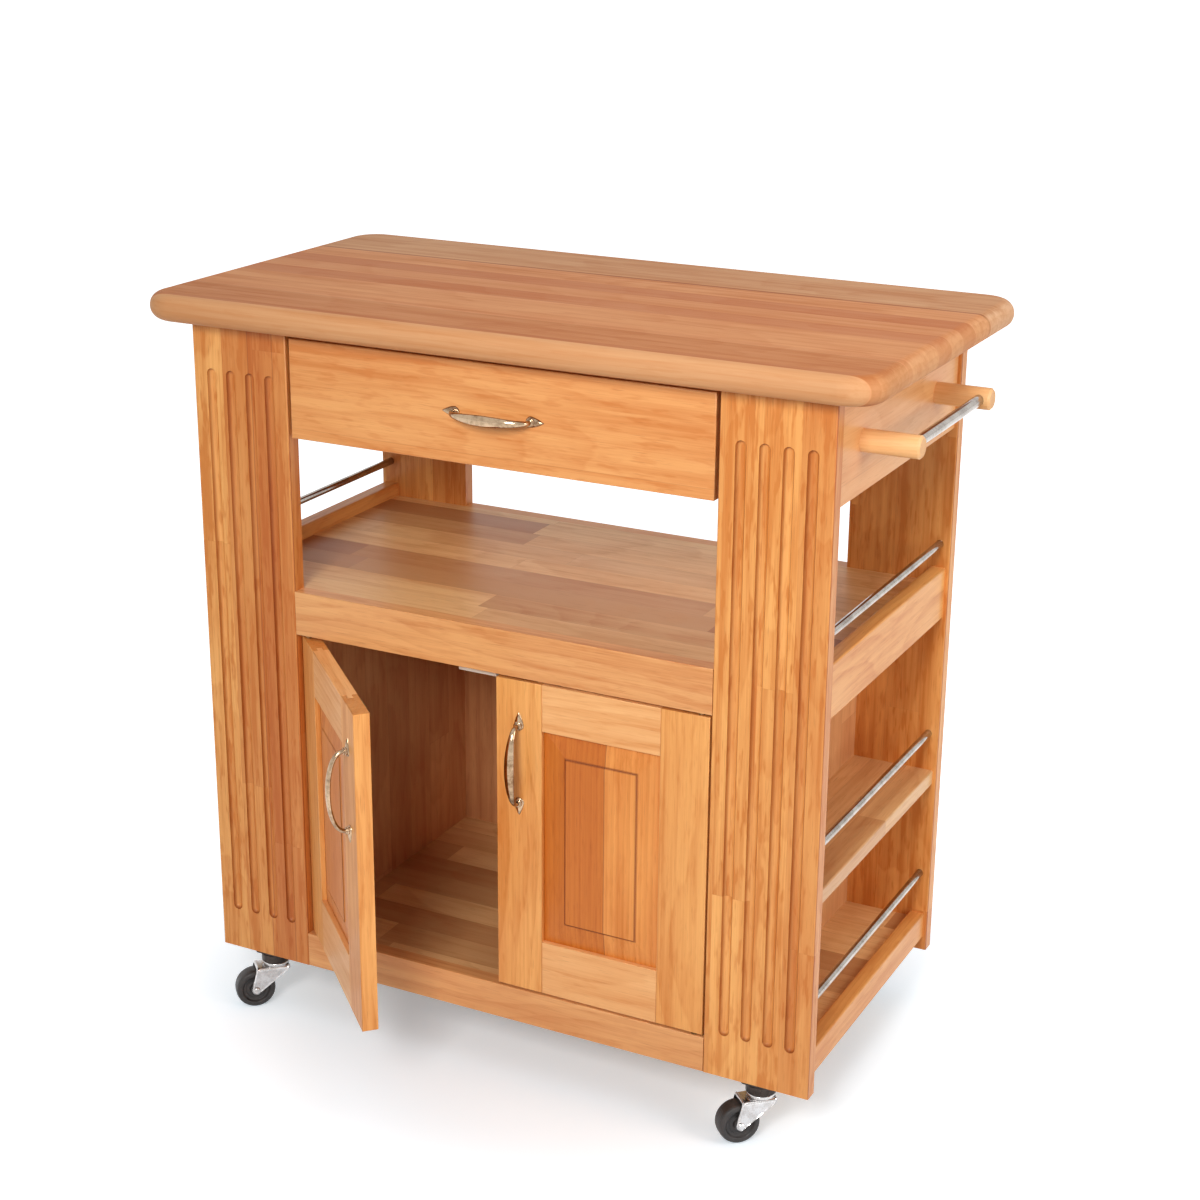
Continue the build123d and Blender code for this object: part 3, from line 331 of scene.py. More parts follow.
def make_board_group():
    """Place holds the distance along the grain, across the staves and into the board. The radius
    from a heart that leans and drifts, divided by the ring spacing, gives the year."""
    tree, given, out = start_group("board_figure", BOARD_INPUTS, BOARD_OUTPUTS)
    width, length, seed = given["Stave Width"], given["Stave Length"], given["Seed"]
    place = put(tree, "SeparateXYZ", {0: given["Place"]}).outputs
    along, across, deep = place[0], place[1], place[2]
    count = calc(tree, "ADD", calc(tree, "DIVIDE", across, width), seed)
    stave = calc(tree, "FLOOR", count)
    row_key = calc(tree, "ADD", stave, seed)
    row = put(tree, "TexWhiteNoise", {"W": row_key}, noise_dimensions="1D").outputs["Value"]
    lengths = calc(tree, "DIVIDE", along, length)
    lengths = calc(tree, "ADD", lengths, calc(tree, "MULTIPLY", row, ROW_SHIFT))
    key = put(tree, "CombineXYZ", {0: stave, 1: calc(tree, "FLOOR", lengths), 2: seed}).outputs[0]
    chance = put(tree, "TexWhiteNoise", {"Vector": key}, noise_dimensions="3D").outputs["Color"]
    pick = put(tree, "SeparateXYZ", {0: chance}).outputs

    offset = put(tree, "VectorMath", {0: chance, 1: STAVE_SHIFT}, operation="MULTIPLY").outputs[0]
    shifted = put(tree, "VectorMath", {0: given["Place"], 1: offset}, operation="ADD").outputs[0]
    drift, wobble, fibre, streak, fleck, cloud, pore = (
        noise(tree, shifted, *settings) for settings in NOISES.values()
    )
    from_middle = calc(tree, "SUBTRACT", calc(tree, "FRACT", count), 0.5)
    heart = calc(tree, "SUBTRACT", pick[0], 0.5)
    side = calc(tree, "MULTIPLY", calc(tree, "SUBTRACT", from_middle, heart), width)
    lean = calc(tree, "MULTIPLY", calc(tree, "SUBTRACT", pick[1], 0.5), HEART_LEAN)
    depth = calc(tree, "ADD", deep, calc(tree, "MULTIPLY_ADD", along, lean, HEART_DEEP))
    depth = calc(tree, "ADD", depth, calc(tree, "MULTIPLY", drift, HEART_DRIFT))
    squares = [calc(tree, "POWER", value, 2.0) for value in (side, depth)]
    radius = calc(tree, "SQRT", calc(tree, "ADD", *squares))
    radius = calc(tree, "MULTIPLY_ADD", wobble, RING_WOBBLE, radius)
    year = calc(tree, "FRACT", calc(tree, "DIVIDE", radius, given["Ring Spacing"]))
    darkening = calc(tree, "POWER", year, 2.2)
    late = calc(tree, "MULTIPLY", darkening, ramp(tree, year, 0.90, 1.0, 1.0, 0.0))

    flecks = ramp(tree, fleck, 0.52, 0.70)
    pores = ramp(tree, pore, 0.62, 0.76)
    figure = calc(tree, "MULTIPLY", late, LATE_PART)
    figure = calc(tree, "MULTIPLY_ADD", ramp(tree, fibre, 0.30, 0.72), FIBRE_PART, figure)
    figure = calc(tree, "MULTIPLY_ADD", ramp(tree, streak, 0.40, 0.66), given["Streaks"], figure)
    figure = calc(tree, "MULTIPLY_ADD", ramp(tree, cloud, 0.32, 0.68), CLOUD_PART, figure)
    figure = calc(tree, "MULTIPLY_ADD", flecks, given["Flecks"], figure)

    contrast = given["Stave Contrast"]
    colour = blend(tree, figure, given["Light"], given["Dark"])
    red = calc(tree, "MULTIPLY", ramp(tree, pick[2], 0.25, 1.0), contrast)
    colour = blend(tree, red, colour, given["Red"])
    pale = calc(tree, "MULTIPLY", ramp(tree, pick[1], 0.55, 1.0, 0.0, 0.35), contrast)
    colour = blend(tree, pale, colour, given["Light"])
    colour = blend(tree, calc(tree, "MULTIPLY", pores, PORE_PART), colour, given["End Wood"])

    facing = put(tree, "SeparateXYZ", {0: given["Facing"]}).outputs[0]
    end = ramp(tree, calc(tree, "ABSOLUTE", facing), 0.45, 0.95)
    end_rings = calc(tree, "MULTIPLY_ADD", late, 0.5, 0.25)
    end_colour = blend(tree, end_rings, given["End Wood"], given["Dark"])
    colour = blend(tree, calc(tree, "MULTIPLY", end, END_PART), colour, end_colour)

    edge = calc(tree, "SUBTRACT", 0.5, calc(tree, "ABSOLUTE", from_middle))
    seam = ramp(tree, calc(tree, "MULTIPLY", edge, width), 0.0001, 0.0006, 1.0, 0.0)
    butt = calc(tree, "ABSOLUTE", calc(tree, "SUBTRACT", calc(tree, "FRACT", lengths), 0.5))
    butt = calc(tree, "MULTIPLY", calc(tree, "SUBTRACT", 0.5, butt), length)
    seam = calc(tree, "MAXIMUM", seam, ramp(tree, butt, 0.0001, 0.0005, 1.0, 0.0))
    seam = calc(tree, "MULTIPLY", seam, given["Seams"])
    colour = blend(tree, seam, colour, given["End Wood"])
    tree.links.new(colour, out["Color"])

    gloss = calc(tree, "MULTIPLY_ADD", figure, 0.08, given["Gloss"])
    gloss = calc(tree, "MULTIPLY_ADD", pores, 0.10, gloss)
    tree.links.new(calc(tree, "MULTIPLY_ADD", end, 0.10, gloss), out["Roughness"])
    height = calc(tree, "MULTIPLY_ADD", fibre, 0.35, calc(tree, "MULTIPLY", late, 0.25))
    height = calc(tree, "SUBTRACT", height, calc(tree, "MULTIPLY", pores, 0.6))
    tree.links.new(calc(tree, "SUBTRACT", height, seam), out["Height"])
    return tree


board_figure = make_board_group()
print("board figure:", len(board_figure.nodes), "nodes")

# %% [markdown]
# ## Cutting each board from the stock
# A board's material only says which way its grain runs, how wide its staves are, and which tones
# it was picked from. The left door stands open, so its pattern is turned about its pivot with it.

# %% Materials for the woodwork
def stock(light, dark, red, end):
    """The four tones of one kind of stock, as linear light."""
    tones = {"Light": light, "Dark": dark, "Red": red, "End Wood": end}
    return {key: srgb(*tone) for key, tone in tones.items()}


HONEY = stock((246, 180, 104), (208, 126, 54), (190, 104, 42), (150, 82, 34))
PALE = stock((248, 192, 130), (222, 150, 86), (206, 126, 64), (164, 96, 48))
FRONT = stock((246, 182, 114), (212, 132, 66), (200, 116, 56), (156, 88, 42))
AMBER = stock((238, 160, 82), (206, 118, 44), (184, 94, 34), (128, 66, 28))
BLOCK = stock((234, 190, 142), (210, 152, 102), (194, 126, 78), (222, 156, 106))
PEG = stock((250, 202, 144), (232, 172, 108), (216, 146, 84), (196, 128, 70))
SHELF = stock((248, 204, 144), (212, 152, 96), (176, 112, 66), (136, 82, 46))
INSIDE = stock((246, 208, 152), (224, 176, 116), (206, 150, 96), (160, 110, 66))
BACK = stock((230, 168, 116), (200, 132, 84), (174, 104, 64), (136, 76, 48))
CUPBOARD = stock((240, 182, 124), (208, 138, 88), (186, 112, 68), (144, 82, 48))
RAIL = stock((240, 180, 118), (206, 132, 74), (192, 112, 56), (156, 88, 44))
# The tint of painted shade, on the walls of flutes and along a raised field's step.
SHADE_TINT = (0.50, 0.34, 0.22)
AXES = {"x": 0, "y": 1, "z": 2}
# The last pair is the width of the painted shade line at a raised field's step.
JOINT_BLUR, JOINT_LINE, FIELD_SHADE_LINE = 0.0002, (0.0003, 0.0010), (0.0006, 0.0021)


def wood(name, tones, order, stave=0.043, length=9.0, seed=0.0, contrast=0.5, ring=0.007,
         gloss=0.40, coat=0.12, streaks=0.3, flecks=0.2, seams=0.25, shine=0.32, turn=None,
         glued=(), flute_shade=0.0, field=None):
    """order names the axes along the grain, across the staves and into the board. The tint bands
    list places across the board from which on the colour is tinted: (place, tint from there on),
    each with a dark joint line. Most tints are tones of the boards and staves; the worktop's rear
    one is a painted reflection. The flute shade is how strongly painted shade darkens the walls
    of flutes, and field is the middle and the half size of a raised rectangle, whose step gets a
    dark line of painted shade too."""
    material, tree, shader = start_material(name)
    texture = put(tree, "TexCoord").outputs
    place, facing = texture["Object"], texture["Normal"]
    if turn:
        pivot, angle = turn
        about = {"Location": pivot, "Rotation": (0, 0, angle)}
        place = put(tree, "Mapping", {"Vector": place, **about}, vector_type="TEXTURE").outputs[0]
        spin = {"Vector": facing, "Rotation": (0, 0, -angle)}
        facing = put(tree, "Mapping", spin, vector_type="VECTOR").outputs[0]
    sorted_axes, parts = [], []
    for source in (place, facing):
        split = put(tree, "SeparateXYZ", {0: source}).outputs
        parts.append([split[AXES[axis]] for axis in order])
        sorted_axes.append(put(tree, "CombineXYZ", dict(enumerate(parts[-1]))).outputs[0])
    spot, face = parts
    group = put(tree, "Group", node_tree=board_figure)
    tree.links.new(sorted_axes[0], group.inputs["Place"])
    tree.links.new(sorted_axes[1], group.inputs["Facing"])
    values = {"Stave Width": stave, "Stave Length": length, "Seed": seed, "Ring Spacing": ring,
              "Stave Contrast": contrast, "Gloss": gloss, "Streaks": streaks, "Flecks": flecks,
              "Seams": seams, **{key: (*tone, 1.0) for key, tone in tones.items()}}
    for key, value in values.items():
        group.inputs[key].default_value = value
    colour = group.outputs["Color"]
    # Each band tints the colour from its place on and draws a dark joint line there; some tints are
    # painted reflection.
    for start, tint in glued:
        sawn = ramp(tree, calc(tree, "ABSOLUTE", face[0]), 0.30, 0.90, 1.0, 0.35)
        past = ramp(tree, spot[1], start - JOINT_BLUR, start + JOINT_BLUR)
        tinted = blend(tree, 1.0, colour, tint, "MULTIPLY")
        colour = blend(tree, calc(tree, "MULTIPLY", past, sawn), colour, tinted)
        off = calc(tree, "ABSOLUTE", calc(tree, "SUBTRACT", spot[1], start))
        line = calc(tree, "MULTIPLY", ramp(tree, off, *JOINT_LINE, 1.0, 0.0), 0.5)
        colour = blend(tree, line, colour, tones["End Wood"])
    # Painted shade: the steep walls of flutes are darkened, as grazing light would darken them.
    if flute_shade:
        lean = calc(tree, "ABSOLUTE", face[2])
        steep = ramp(tree, lean, 0.45, 0.95, flute_shade, 0.0)
        flute_wall_shade = calc(tree, "MULTIPLY", steep, ramp(tree, lean, 0.03, 0.18))
        colour = blend(tree, flute_wall_shade, colour, blend(tree, 1.0, colour, SHADE_TINT, "MULTIPLY"))
    # Painted shade: a dark line along the step round the raised field, where its corner is shaded.
    if field:
        past = []
        for here, middle, half in zip(spot, *field):
            off = calc(tree, "ABSOLUTE", calc(tree, "SUBTRACT", here, middle))
            past.append(calc(tree, "SUBTRACT", off, half))
        off = calc(tree, "ABSOLUTE", calc(tree, "MAXIMUM", *past))
        line = ramp(tree, off, *FIELD_SHADE_LINE, 0.75, 0.0)
        colour = blend(tree, line, colour, blend(tree, 1.0, colour, SHADE_TINT, "MULTIPLY"))
    tree.links.new(colour, shader.inputs["Base Color"])
    tree.links.new(group.outputs["Roughness"], shader.inputs["Roughness"])
    relief = {"Height": group.outputs["Height"], "Strength": 0.22, "Distance": 0.0004}
    bump = put(tree, "Bump", relief)
    tree.links.new(bump.outputs[0], shader.inputs["Normal"])
    shader.inputs["Specular IOR Level"].default_value = shine
    shader.inputs["Coat Weight"].default_value = coat
    shader.inputs["Coat Roughness"].default_value = 0.16
    return material


def dress(names, material):
    """Gives CAD nodes, named in one string, a material in place of the frame's own."""
    for name in names.split():
        mesh = nodes[name].data
        mesh.materials.clear()
        mesh.materials.append(material)


def cut(names, label, tones, order, **settings):
    """Cuts the boards named from one stock, with the figure that the settings ask for."""
    dress(names, wood(label, tones, order, **settings))


LEFT_HINGE = next(j for j in frame["joints"] if j["name"] == "left_door_hinge")
LEFT_OPEN = math.radians(LEFT_HINGE["range_deg"][0])
LEFT_TURN = ((*LEFT_HINGE["pos_m"][:2], 0.0), LEFT_OPEN)

# The worktop's tints from each place on: the staves' own tones, and from 0.121 to the back a paler,
# greyer painted reflection of the white backdrop on the rear strip.
TOP_STAVES_AND_SHEEN = (
    (-0.231, (0.76, 0.52, 0.35)), (-0.150, (1.12, 1.16, 1.28)),
    (0.115, (0.60, 0.48, 0.40)), (0.121, (1.52, 2.25, 3.30)),
)
# The left panel is darker from -0.323 across to its right edge, most up to -0.289, with a dark line
# at both places.
LEFT_PANEL_DARK_BANDS = ((-0.323, (0.86, 0.72, 0.60)), (-0.289, (1.10, 1.22, 1.38)))
PANEL = dict(stave=0.0433, length=0.62, streaks=0.56, flecks=0.50, seams=0.12, flute_shade=0.8)
PLANK = dict(stave=0.12, contrast=0.2)
cut("worktop", "worktop_staves", BLOCK, "xyz", stave=0.041, seed=3.37, contrast=0.62, gloss=0.50,
    coat=0.0, streaks=0.46, shine=0.12, glued=TOP_STAVES_AND_SHEEN)
cut("panel_front_left", "front_left_panel", HONEY, "zxy", seed=11.3, glued=LEFT_PANEL_DARK_BANDS, **PANEL)
cut("panel_front_right", "front_right_panel", HONEY, "zxy", seed=5.62, contrast=0.40, **PANEL)
cut("panel_rear_left panel_rear_right", "rear_panels", HONEY, "zxy", seed=23.4, **PANEL)
cut("mid_front_rail bottom_front_rail", "front_rails", RAIL, "xzy", seed=7.71, **PLANK)
cut("mid_rear_rail bottom_rear_rail rear_apron", "rear_rails", PALE, "xzy", stave=0.12, seed=9.13,
    contrast=0.3)
cut("end_apron_left end_apron_right", "end_aprons", PALE, "yzx", stave=0.14, seed=4.41,
    contrast=0.25)
cut("mid_end_lips bottom_end_lips", "end_lips", HONEY, "yzx", stave=0.12, seed=14.9, contrast=0.3)
SHORT_STAVES = dict(stave=0.046, length=0.48)
cut("mid_shelf", "mid_shelf_staves", SHELF, "xyz", seed=2.28, contrast=0.95, gloss=0.38,
    coat=0.04, **SHORT_STAVES)
cut("bottom_shelf", "bottom_shelf_staves", SHELF, "xyz", seed=8.86, contrast=0.7, gloss=0.38,
    coat=0.04, **SHORT_STAVES)
cut("rack_shelf_left rack_shelf_right", "rack_shelf_staves", SHELF, "yxz", seed=6.15,
    contrast=0.45, **SHORT_STAVES)
cut("partition_left partition_right", "partition_staves", CUPBOARD, "zyx", stave=0.05,
    length=0.55, seed=12.2, contrast=0.45)
cut("drawer_front", "drawer_face", FRONT, "xzy", stave=0.16, seed=1.19, contrast=0.2, ring=0.010,
    streaks=0.42, flecks=0.3)
cut("drawer_box_front drawer_back", "drawer_cross_boards", INSIDE, "xzy", seed=3.9, **PLANK)
cut("drawer_side_left drawer_side_right", "drawer_sides", INSIDE, "yzx", seed=13.6, **PLANK)
cut("drawer_bottom", "drawer_bottom_board", INSIDE, "xyz", stave=9.0, seed=0.4, contrast=0.1,
    ring=0.016)
cut("drawer_bearers drawer_runners", "runner_wood", INSIDE, "yzx", stave=0.2, seed=6.4,
    contrast=0.2, coat=0.05)
cut("caster_blocks catch_cleat", "block_wood", INSIDE, "xyz", stave=0.06, seed=10.4, contrast=0.3,
    coat=0.05)
cut("back_panel", "back_board", BACK, "zxy", stave=9.0, seed=0.6, contrast=0.1, ring=0.018,
    coat=0.05)
cut("side_bar_pegs", "turned_pegs", PEG, "xyz", stave=0.2, seed=15.4, contrast=0.1, ring=0.004)

DARKER, PALER = (0.76, 0.57, 0.30), (0.88, 0.78, 0.68)
FIELD_JOINT, FIELD_IN = 0.1397, 0.037
FIELD_LOW, FIELD_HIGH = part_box("right_door_raised_panel")
for side, turn in (("right", None), ("left", LEFT_TURN)):
    door = side + "_door_"
    if side == "right":
        joint = ((-0.01, DARKER), (FIELD_JOINT, tuple(1 / c for c in DARKER)))
    else:
        joint = ((-FIELD_JOINT, PALER),)
    across = (FIELD_LOW[0] + FIELD_HIGH[0]) / 2 * (1 if side == "right" else -1)
    middle = ((FIELD_LOW[2] + FIELD_HIGH[2]) / 2, across)
    half = [(FIELD_HIGH[i] - FIELD_LOW[i]) / 2 - FIELD_IN for i in (2, 0)]
    stile, rail = dict(stave=0.3, contrast=0.15, turn=turn), dict(stave=0.3, turn=turn)
    cut(door + "hinge_stile", door + "outer_stile", HONEY, "zxy", seed=2.3, **stile)
    cut(door + "free_stile", door + "inner_stile", HONEY, "zxy", seed=5.8, **stile)
    cut(door + "top_rail", door + "upper_rail", PALE, "xzy", seed=1.7, contrast=0.0, **rail)
    cut(door + "bottom_rail", door + "lower_rail", PALE, "xzy", seed=8.2, contrast=0.1, **rail)
    cut(door + "raised_panel", door + "panel_boards", AMBER, "zxy", stave=9.0, seed=0.62,
        contrast=0.0, turn=turn, glued=joint, field=(middle, half))
print("wood materials:", len(bpy.data.materials))

# %% [markdown]
# ## Eased edges
# No joiner leaves an arris sharp: fine paper rounds it by about a millimetre, and that narrow
# round is what catches the light along every board. A weld joins the corners that neighbouring
# faces share first, or the bevel would find nothing to round. Flutes meet the face at a little
# less than a right angle, so the angle limit leaves them crisp, as a router does.

# %% Ease the boards' edges
EASED_WIDTH, EASED_ANGLE, WELD_REACH = 0.0012, 80, 0.000002
EASED = (
    "panel_front_left", "panel_front_right", "panel_rear_left", "panel_rear_right",
    "end_apron_left", "end_apron_right", "rear_apron", "mid_front_rail", "mid_rear_rail",
    "bottom_front_rail", "bottom_rear_rail", "mid_end_lips", "bottom_end_lips",
    "rack_shelf_left", "rack_shelf_right", "drawer_front", "drawer_side_left",
    "drawer_side_right", "drawer_back",
    *(side + "_door_" + part for side in ("left", "right")
      for part in ("hinge_stile", "free_stile", "top_rail", "bottom_rail", "raised_panel")),
)


def ease(name):
    """Welds coincident corners and rounds every edge that turns by more than the angle."""
    weld = nodes[name].modifiers.new("joined_corners", "WELD")
    weld.merge_threshold = WELD_REACH
    bevel = nodes[name].modifiers.new("eased_edges", "BEVEL")
    bevel.width = EASED_WIDTH
    bevel.segments = 2
    bevel.limit_method = "ANGLE"
    bevel.angle_limit = math.radians(EASED_ANGLE)
    bevel.harden_normals = True
    bevel.use_clamp_overlap = True


for name in EASED:
    ease(name)
print("boards with eased edges:", len(EASED))

# %% [markdown]
# ## Metal and plastic
# Plated parts are told apart by what breaks up their shine: a drawn rod has fine lines round it,
# a cast pull has soft hand marks, and pressed caster steel is a little cloudy. On the pulls the
# dark marked colour is painted dark reflection as well as hand marks. One group gives the marks,
# and each finish sets how strong they are.

# %% The smudge group and the plain finishes
def make_marks_and_reflections_group():
    """Hand marks and fine scratches as a roughness, a tint and a height; on the pulls the tint also
    paints dark reflections.
    """
    numbers = (("Clean", 0.1), ("Marked", 0.25), ("Scale", 60.0))
    inputs = (("Place", "Vector", None), *((name, "Float", value) for name, value in numbers))
    outputs = (("Roughness", "Float"), ("Tint", "Float"), ("Height", "Float"))
    tree, given, out = start_group("marks_and_reflections", inputs, outputs)
    sockets = {0: given["Place"], "Scale": given["Scale"]}
    scaled = put(tree, "VectorMath", sockets, operation="SCALE").outputs[0]
    broad = noise(tree, scaled, (1.0, 1.0, 1.0), 4.0, 0.6)
    fine = noise(tree, scaled, (9.0, 9.0, 9.0), 3.0, 0.6)
    both = calc(tree, "MULTIPLY_ADD", fine, 0.35, calc(tree, "MULTIPLY", broad, 0.65))
    mask = ramp(tree, both, 0.38, 0.66)
    span = calc(tree, "SUBTRACT", given["Marked"], given["Clean"])
    tree.links.new(calc(tree, "MULTIPLY_ADD", mask, span, given["Clean"]), out["Roughness"])
    tree.links.new(mask, out["Tint"])
    tree.links.new(fine, out["Height"])
    return tree


marks_and_reflections = make_marks_and_reflections_group()
SMUDGE_DEPTH = 0.0002


def finish(name, colour, marked_colour, clean, marked, scale, metallic=1.0, bump=0.05):
    """A metal or plastic whose colour and shine change with the marks, more of them to the metre
    with a larger scale. On the pulls the marked colour is painted dark reflection as well as hand
    marks."""
    material, tree, shader = start_material(name)
    place = put(tree, "TexCoord").outputs["Object"]
    group = put(tree, "Group", node_tree=marks_and_reflections)
    tree.links.new(place, group.inputs["Place"])
    for key, value in (("Clean", clean), ("Marked", marked), ("Scale", scale)):
        group.inputs[key].default_value = value
    tint = blend(tree, group.outputs["Tint"], srgb(*colour), srgb(*marked_colour))
    tree.links.new(tint, shader.inputs["Base Color"])
    tree.links.new(group.outputs["Roughness"], shader.inputs["Roughness"])
    relief = {"Height": group.outputs["Height"], "Strength": bump, "Distance": SMUDGE_DEPTH}
    mark = put(tree, "Bump", relief)
    tree.links.new(mark.outputs[0], shader.inputs["Normal"])
    shader.inputs["Metallic"].default_value = metallic
    return material


# The pulls' dark marked colour is painted dark reflection as well as hand marks.
pull_metal = finish("nickel_with_painted_reflections", (194, 168, 138), (120, 90, 64), 0.08, 0.18, 24.0)
rod_metal = finish("bright_rod", (188, 180, 172), (150, 140, 132), 0.08, 0.18, 40.0)
caster_metal = finish("caster_chrome", (214, 212, 212), (186, 182, 180), 0.12, 0.30, 90.0)
dark_steel = finish("steel_darkened_for_painted_shade", (74, 66, 62), (52, 46, 44), 0.30, 0.45, 90.0)
zinc = finish("zinc_plate", (190, 190, 194), (166, 166, 172), 0.25, 0.42, 120.0)
bush_metal = finish("dull_brass", (150, 116, 78), (124, 94, 62), 0.34, 0.5, 120.0)
tyre = finish("black_moulded_wheel", (36, 32, 31), (56, 50, 48), 0.36, 0.58, 110.0, 0.0, 0.15)
white_plastic = finish("white_moulding", (250, 244, 230), (240, 232, 216), 0.32, 0.45, 100.0, 0.0)

dress("gallery_rods side_bar", rod_metal)
# The caster plates' dark colour is painted shade: they lie in the shadow under the panels' bottoms.
dress("caster_plates", dark_steel)
dress("pivot_bushes left_door_fittings right_door_fittings", bush_metal)
dress("magnetic_catches", white_plastic)
print("materials in all:", len(bpy.data.materials))

# %% [markdown]
# ## Surfaces from grids
# Every small part is a sheet of points, rows along a path and columns round an outline. If the
# outline closes and both ends are capped with one point each, the sheet is a watertight skin.
# Its faces are the same little squares each time, so one function numbers them for all parts,
# turns the skin right side out by the sign of its volume, and welds several skins into a piece.

# %% From a grid of points to a piece
SHARP_ANGLE = 40.0


def skin(points, ring=False):
    """Faces of a grid whose columns run round. Its rows close too if ring, else its two ends
    are capped with a point at the middle of the first and of the last row."""
    rows, cols = points.shape[:2]
    index = np.arange(rows * cols).reshape(rows, cols)
    beside = np.roll(index, -1, axis=1)
    low, high = (index, np.roll(index, -1, axis=0)) if ring else (index[:-1], index[1:])
    low_side, high_side = np.roll(low, -1, axis=1), np.roll(high, -1, axis=1)
    quads = np.stack([low, low_side, high_side, high], -1).reshape(-1, 4)
    corners = points.reshape(-1, 3)
    if ring:
        return corners, quads, np.zeros((0, 3), int)
    poles = np.stack([points[0].mean(0), points[-1].mean(0)])
    first = np.full(cols, rows * cols)
    start = np.stack([beside[0], index[0], first], -1)
    end = np.stack([index[-1], beside[-1], first + 1], -1)
    return np.concatenate([corners, poles]), quads, np.concatenate([start, end])


def volume(corners, quads, tris):
    """A sixth of the sum of the triple products of each triangle's corners."""
    faces = np.concatenate([quads[:, :3], quads[:, [0, 2, 3]], tris])
    a, b, c = (corners[faces[:, i]] for i in range(3))
    return float((a * np.cross(b, c)).sum()) / 6


def compare(piece, name):
    """Prints how far the piece's lowest and highest corners are from the CAD node's."""
    mine = np.array([v.co for v in piece.data.vertices])
    gaps = [np.abs(own - its).max() for own, its in zip((mine.min(0), mine.max(0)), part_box(name))]
    print(name, "off the frame by", *(round(float(gap), 4) for gap in gaps))


def make_piece(name, skins, material, body, slot, *stands_for):
    """Welds skins into one smooth-shaded piece that rides on a body."""
    corners, faces, count = [], [], 0
    for points, quads, tris in skins:
        if volume(points, quads, tris) < 0:
            quads, tris = quads[:, ::-1], tris[:, ::-1]
        corners.append(points)
        faces += (quads + count).tolist() + (tris + count).tolist()
        count += len(points)
    mesh = bpy.data.meshes.new(name)
    mesh.from_pydata(np.concatenate(corners).tolist(), [], faces)
    mesh.shade_smooth()
    mesh.set_sharp_from_angle(angle=math.radians(SHARP_ANGLE))
    mesh.materials.append(material)
    piece = bpy.data.objects.new(name, mesh)
    bpy.context.scene.collection.objects.link(piece)
    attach(piece, body)
    if stands_for:
        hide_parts(*stands_for)
        compare(piece, *stands_for)


def moved(skins, change):
    """The same skins with their points put somewhere else."""
    return [(change(points), quads, tris) for points, quads, tris in skins]


print("grid helpers ready")

# %% [markdown]
# ## Bow pulls
# Each pull is one polished casting: a leaf-shaped foot with a soft ridge, a ringed collar, and a
# bow that swells from a thin neck to a broad belly. Subdividing a box would give a vague sausage.
# Here the bow is an oval carried along an arch, and both its half widths are formulas of the
# place along it, so the swell and the ridge can be matched to the photograph.

# %% The pull's formulas
MM = 0.001
HALF_CENTRES = 48.0
FOOT_THICK, FOOT_HEEL, FOOT_REACH = 3.0, 6.4, 16.0
BOW_REACH = 27.0
NECK_WIDE, NECK_THICK, BELLY_WIDE, BELLY_THICK = 2.9, 2.9, 6.4, 3.3
ARCH_POWER, SWELL_POWER, BACK_PART, RIDGE_CUT = 0.8, 2.4, 0.72, 0.55


def bow_skin(steps=88, around=36):
    """An oval along the arch x = 48 sin a, out = cos(a)^0.8, for a from -90 to 90 degrees. Its half
    width goes from neck to belly as cos(a)^2.4, its front is a little fuller than its back, and a
    low ridge follows the middle of the front."""
    a = np.linspace(-0.5 * math.pi, 0.5 * math.pi, steps)
    rise = BOW_REACH - BELLY_THICK - FOOT_THICK
    cos = np.clip(np.cos(a), 1e-6, 1)
    path = np.stack([HALF_CENTRES * np.sin(a), -FOOT_THICK - rise * cos ** ARCH_POWER], 1)
    ahead = np.gradient(path, axis=0)
    ahead /= np.linalg.norm(ahead, axis=1, keepdims=True)
    belly = cos ** SWELL_POWER
    wide = NECK_WIDE + (BELLY_WIDE - NECK_WIDE) * belly
    thick = NECK_THICK + (BELLY_THICK - NECK_THICK) * belly
    turn = np.linspace(0, 2 * math.pi, around, endpoint=False)
    front = np.clip(np.sin(turn), 0, 1)
    side = wide[:, None] * np.cos(turn)
    depth = thick[:, None] * np.sin(turn) * np.where(np.sin(turn) > 0, 1.0, BACK_PART)
    depth -= (RIDGE_CUT * belly)[:, None] * (front * (1 - front ** 5))
    out = np.stack([ahead[:, 1], -ahead[:, 0]], 1)
    x = path[:, 0, None] + out[:, 0, None] * depth
    y = path[:, 1, None] + out[:, 1, None] * depth
    return skin(np.stack([x, y, side], -1) * MM)


def foot_skin(end, steps=40, around=28):
    """A leaf: half width = heel x sqrt(1 - s^2) behind the bow and a drawn-out curve to the tip in
    front of it. Its top is domed across and has a ridge that fades towards the heel."""
    s = np.sin(np.linspace(-0.5 * math.pi, 0.5 * math.pi, steps))
    along = np.where(s < 0, s * FOOT_HEEL, s * FOOT_REACH)
    round_heel = np.sqrt(np.clip(1 - s ** 2, 0, 1))
    drawn_out = (1 - np.clip(s, 0, 1) ** 1.35) ** 0.85
    half = FOOT_HEEL * np.where(s < 0, round_heel, drawn_out)
    tall = FOOT_THICK * np.where(s < 0, round_heel ** 0.5, (1 - np.clip(s, 0, 1) ** 3) ** 0.8)
    turn = np.linspace(0, 2 * math.pi, around, endpoint=False)
    across = np.cos(turn)
    off = np.abs(across)
    crown = 0.80 * (1 - off ** 2.6) ** 0.6 + 0.20 * (1 - off)
    dome = np.where(np.sin(turn) > 0, crown, 0.0)
    x = np.broadcast_to((end * (HALF_CENTRES + along))[:, None], (steps, around))
    return skin(np.stack([x, -tall[:, None] * dome, half[:, None] * across], -1) * MM)


